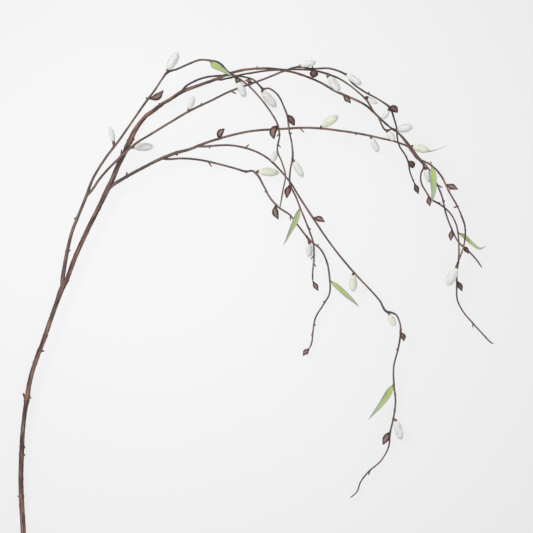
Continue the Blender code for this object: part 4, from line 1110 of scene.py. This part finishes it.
class TwigColours(bpy.types.PropertyGroup):
    """Colours of the dressed branch."""

    bark_dark: colour_field("Dark bark", "Hollows of the main stem's bark", (0.042, 0.018, 0.014))
    bark_light: colour_field("Light bark", "Ridges of the main stem's bark", (0.225, 0.130, 0.096))
    shoot_dark: colour_field("Dark shoot", "Hollows of a side shoot's bark", (0.035, 0.021, 0.020))
    shoot_light: colour_field("Light shoot", "Ridges of a side shoot's bark", (0.20, 0.120, 0.105))
    bark_olive: colour_field("Olive bark", "Ripe stretches of bark", (0.20, 0.155, 0.09))
    lenticel: colour_field("Lenticels", "Pale spots of the bark", (0.36, 0.30, 0.23))
    bud_dark: colour_field("Dark bud", "Rims of the bud scales", (0.040, 0.018, 0.016))
    bud_olive: colour_field("Olive bud", "Belly of an olive bud", (0.24, 0.20, 0.11))
    bud_light: colour_field("Light bud", "Belly of a bud", (0.30, 0.19, 0.158))
    silk: colour_field("Silk", "Ends of the silky hairs", (0.82, 0.82, 0.785))
    silk_shade: colour_field("Silk shade", "Silk between the hairs", (0.78, 0.785, 0.735))
    silk_cream: colour_field("Cream silk", "Silk of the ripe catkins", (0.82, 0.83, 0.69))
    leaf_green: colour_field("Leaf", "Middle of a leaf", (0.42, 0.53, 0.085))
    leaf_middle: colour_field("Sage leaf", "Sides of a leaf", (0.40, 0.48, 0.33))
    leaf_edge: colour_field("Leaf edge", "Edges of a leaf", (0.22, 0.26, 0.20))
    leaf_tip: colour_field("Leaf tip", "End of a leaf", (0.32, 0.36, 0.31))
    floor: colour_field("Floor", "The pale table", (0.08, 0.08, 0.08))


class WILLOW_OT_bark(bpy.types.Operator):
    """Grow the bark of the main stem and its side shoots, and the cut at the stem's foot"""

    bl_idname = "willow.bark"
    bl_label = "Grow bark"

    def execute(self, context):
        sizes = context.scene.twig_sizes
        colours = context.scene.twig_colours
        spots = (colours.lenticel, colours.bark_olive)
        old = bark_finish("old bark", colours.bark_dark, colours.bark_light, *spots, 1)
        young = bark_finish("young bark", colours.shoot_dark, colours.shoot_light, *spots, 0.6)
        for name in STEMS:
            finish = old if name == MAIN else young
            dress(grow_bark(name, sizes), name + "_bark", finish, "bark", name)
        start, radius = STEMS[MAIN].at(0)
        ahead = (STEMS[MAIN].at(2 * CUT_DEPTH)[0] - start).normalized()
        model = turned(CUT_ROWS, CATKIN_SIDES)
        mark(model, "along", np.linalg.norm(corners(model)[:, :2], axis=1))
        cut = laid(model, [start + CUT_DEPTH * ahead, start - CUT_PROUD * ahead], 2 * radius)
        lift_off(cut)
        dress(cut, "cut_wood", wood_finish("cut wood"), "bark")
        remove(model)
        return {"FINISHED"}


class WILLOW_OT_buds(bpy.types.Operator):
    """Set the pointed brown buds on their stems"""

    bl_idname = "willow.buds"
    bl_label = "Set buds"

    def execute(self, context):
        colours = context.scene.twig_colours
        finish = bud_finish("bud scales", colours.bud_dark, colours.bud_light, colours.bud_olive)
        models = {kind: model_bud(kind) for kind in BUD_SHAPES}
        for number, (owner, foot, belly, tip, width) in enumerate(BUDS, 1):
            root = STEMS[owner].foot(*foot)[0]
            end = place(*tip)
            way = smooth(np.array([root, place(*belly), end]), 0.001)
            outward = end - STEMS[owner].foot(*tip[:2])[0]
            hand = 1 if outward.dot((end - root).cross(Vector((0, 0, 1)))) > 0 else -1
            kind = "domed" if number in DOMED_BUDS else "round" if number in ROUND_BUDS else "pointed"
            bud = laid(models[kind], way, BUD_FULLNESS * width * MM, BUD_FLATNESS, hand=hand)
            tint(bud, number, shade=DARK_BUDS, olive=OLIVE_BUDS, russet=RUSSET_BUDS)
            dress(bud, f"bud_{number:02d}", finish, "bark")
        remove(*models.values())
        return {"FINISHED"}


class WILLOW_OT_caps(bpy.types.Operator):
    """Set the brown cap that each catkin grows from"""

    bl_idname = "willow.caps"
    bl_label = "Set catkin caps"

    def execute(self, context):
        colours = context.scene.twig_colours
        finish = bud_finish("catkin caps", colours.bud_dark, colours.bark_light, colours.bud_olive)
        model = model_cap()
        for number, (owner, foot, base, tip, width) in enumerate(CATKINS, 1):
            root = STEMS[owner].foot(*foot)[0]
            end = place(*base)
            lean = (place(*tip) - end).normalized()
            elbow = end - 0.5 * (end - root).length * lean
            cap = laid(model, bend(root, elbow, end), WIDE_CAPS.get(number, NARROW_CAP) * width * MM)
            tint(cap, number, shade=DARK_CAPS, olive=OLIVE_CAPS, russet=RUSSET_CAPS)
            dress(cap, f"catkin_{number:02d}_cap", finish, "bark")
        remove(model)
        return {"FINISHED"}


class WILLOW_OT_catkins(bpy.types.Operator):
    """Set the silky catkins in their caps"""

    bl_idname = "willow.catkins"
    bl_label = "Set catkins"

    def execute(self, context):
        sizes = context.scene.twig_sizes
        colours = context.scene.twig_colours
        white = silk_finish("white silk", colours.silk, colours.silk_shade, SILK_FOOT)
        cream = silk_finish("cream silk", colours.silk_cream, CREAM_SHADE, CREAM_FOOT)
        models = [model_catkin(seed, sizes) for seed in (3, 8, 21)]
        for number, (_, _, base, tip, width) in enumerate(CATKINS):
            start = place(*base)
            lean = (place(*tip) - start).normalized()
            end = place(*tip) + PAST_TIP * lean
            fullness = 1.2 if number + 1 in FLUFFY else 1.08
            way = [start - INSIDE_CAP * lean, end]
            catkin = laid(models[number % 3], way, fullness * width * MM, turn=number * 0.9)
            node = f"catkin_{number + 1:02d}"
            dress(catkin, node + "_silk", cream if number + 1 in CREAM else white, "silk", node)
            soften(catkin, start, end)
        remove(*models)
        return {"FINISHED"}


class WILLOW_OT_leaves(bpy.types.Operator):
    """Set the narrow leaves on their stalks"""

    bl_idname = "willow.leaves"
    bl_label = "Set leaves"

    def execute(self, context):
        colours = context.scene.twig_colours
        greens = (colours.leaf_green, colours.leaf_middle, colours.leaf_edge, colours.leaf_tip)
        finish = leaf_finish("willow leaf", *greens)
        for number in range(len(LEAVES)):
            blade = leaf_piece(number, context.scene.twig_sizes)
            dress(blade, f"leaf_{number + 1}_blade", finish, "leaf", f"leaf_{number + 1}")
        return {"FINISHED"}


class WILLOW_OT_stage(bpy.types.Operator):
    """Lay the pale table and set the soft lights and the camera over the branch"""

    bl_idname = "willow.stage"
    bl_label = "Set stage"

    def execute(self, context):
        scene = context.scene
        colours = scene.twig_colours
        deselect()
        bpy.ops.mesh.primitive_plane_add(size=TABLE_SIZE)
        table = context.object
        edit_all()
        bpy.ops.mesh.subdivide(number_cuts=4)
        bpy.ops.object.mode_set(mode="OBJECT")
        table.name = "pale_table"
        recipe = Recipe("pale table")
        paper = recipe.noise(3, 2, 0.5)
        colour = recipe.mix(recipe.fit(paper, 0.3, 0.7), colours.floor, TABLE_GREY)
        # The table glows though it is no lamp: a painted pool of light, brightest round GLOW_CENTRE and
        # dimmer further out
        ends = {0: recipe.spot, 1: GLOW_CENTRE}
        away = recipe.add("ShaderNodeVectorMath", {"operation": "DISTANCE"}, ends, "Value")
        glow = recipe.mix(recipe.fit(away, 0.15, 0.7), NEAR_GLOW, FAR_GLOW)
        recipe.feed(recipe.shader.inputs["Emission Color"], glow)
        recipe.set_shader(Emission_Strength=1, Specular_IOR_Level=0)
        recipe.material.cycles.emission_sampling = "NONE"
        table.data.materials.append(recipe.finish(colour, recipe.fit(paper, 0, 1, 0.9, 1)))

        world = bpy.data.worlds.new("soft studio")
        world.use_nodes = True
        sky = world.node_tree.nodes["Background"].inputs
        sky["Color"].default_value = (*SKY, 1)
        sky["Strength"].default_value = SKY_STRENGTH
        scene.world = world
        for name, spot, size, power in LIGHTS:
            deselect()
            bpy.ops.object.light_add(type="AREA", location=spot)
            light = context.object
            light.name = name
            light.data.shape = "DISK"
            light.data.size = size
            light.data.energy = power
            light.rotation_euler = Vector(spot).to_track_quat("Z", "Y").to_euler()

        deselect()
        middle = place(VIEW_MIDDLE, VIEW_MIDDLE, 0)
        height = FOCUS_HEIGHT + VIEW_WIDTH * LENS / SENSOR
        bpy.ops.object.camera_add(location=(middle.x, middle.y, height), rotation=(0, 0, 0))
        camera = context.object
        camera.data.lens = LENS
        camera.data.sensor_width = SENSOR
        camera.data.clip_end = 200
        scene.camera = camera
        scene.view_settings.view_transform = "Standard"
        return {"FINISHED"}


class WILLOW_PT_twig(bpy.types.Panel):
    """Lists the steps that dress the branch, with their sizes and colours"""

    bl_idname = "WILLOW_PT_twig"
    bl_label = "Willow twig"
    bl_space_type = "VIEW_3D"
    bl_region_type = "UI"
    bl_category = "Willow twig"

    def draw(self, context):
        column = self.layout.column()
        for step in STEPS:
            column.operator(step.bl_idname)
        for group in (context.scene.twig_sizes, context.scene.twig_colours):
            for name in group.__annotations__:
                column.prop(group, name)


STEPS = (
    WILLOW_OT_bark,
    WILLOW_OT_buds,
    WILLOW_OT_caps,
    WILLOW_OT_catkins,
    WILLOW_OT_leaves,
    WILLOW_OT_stage,
)
CLASSES = (TwigSizes, TwigColours, *STEPS, WILLOW_PT_twig)


def register():
    for cls in CLASSES:
        bpy.utils.register_class(cls)
    bpy.types.Scene.twig_sizes = bpy.props.PointerProperty(type=TwigSizes)
    bpy.types.Scene.twig_colours = bpy.props.PointerProperty(type=TwigColours)


def unregister():
    del bpy.types.Scene.twig_colours
    del bpy.types.Scene.twig_sizes
    for cls in reversed(CLASSES):
        bpy.utils.unregister_class(cls)


def main():
    register()
    bpy.ops.willow.bark()
    bpy.ops.willow.buds()
    bpy.ops.willow.caps()
    bpy.ops.willow.catkins()
    bpy.ops.willow.leaves()
    bpy.ops.willow.stage()
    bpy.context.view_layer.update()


if __name__ == "__main__":
    main()
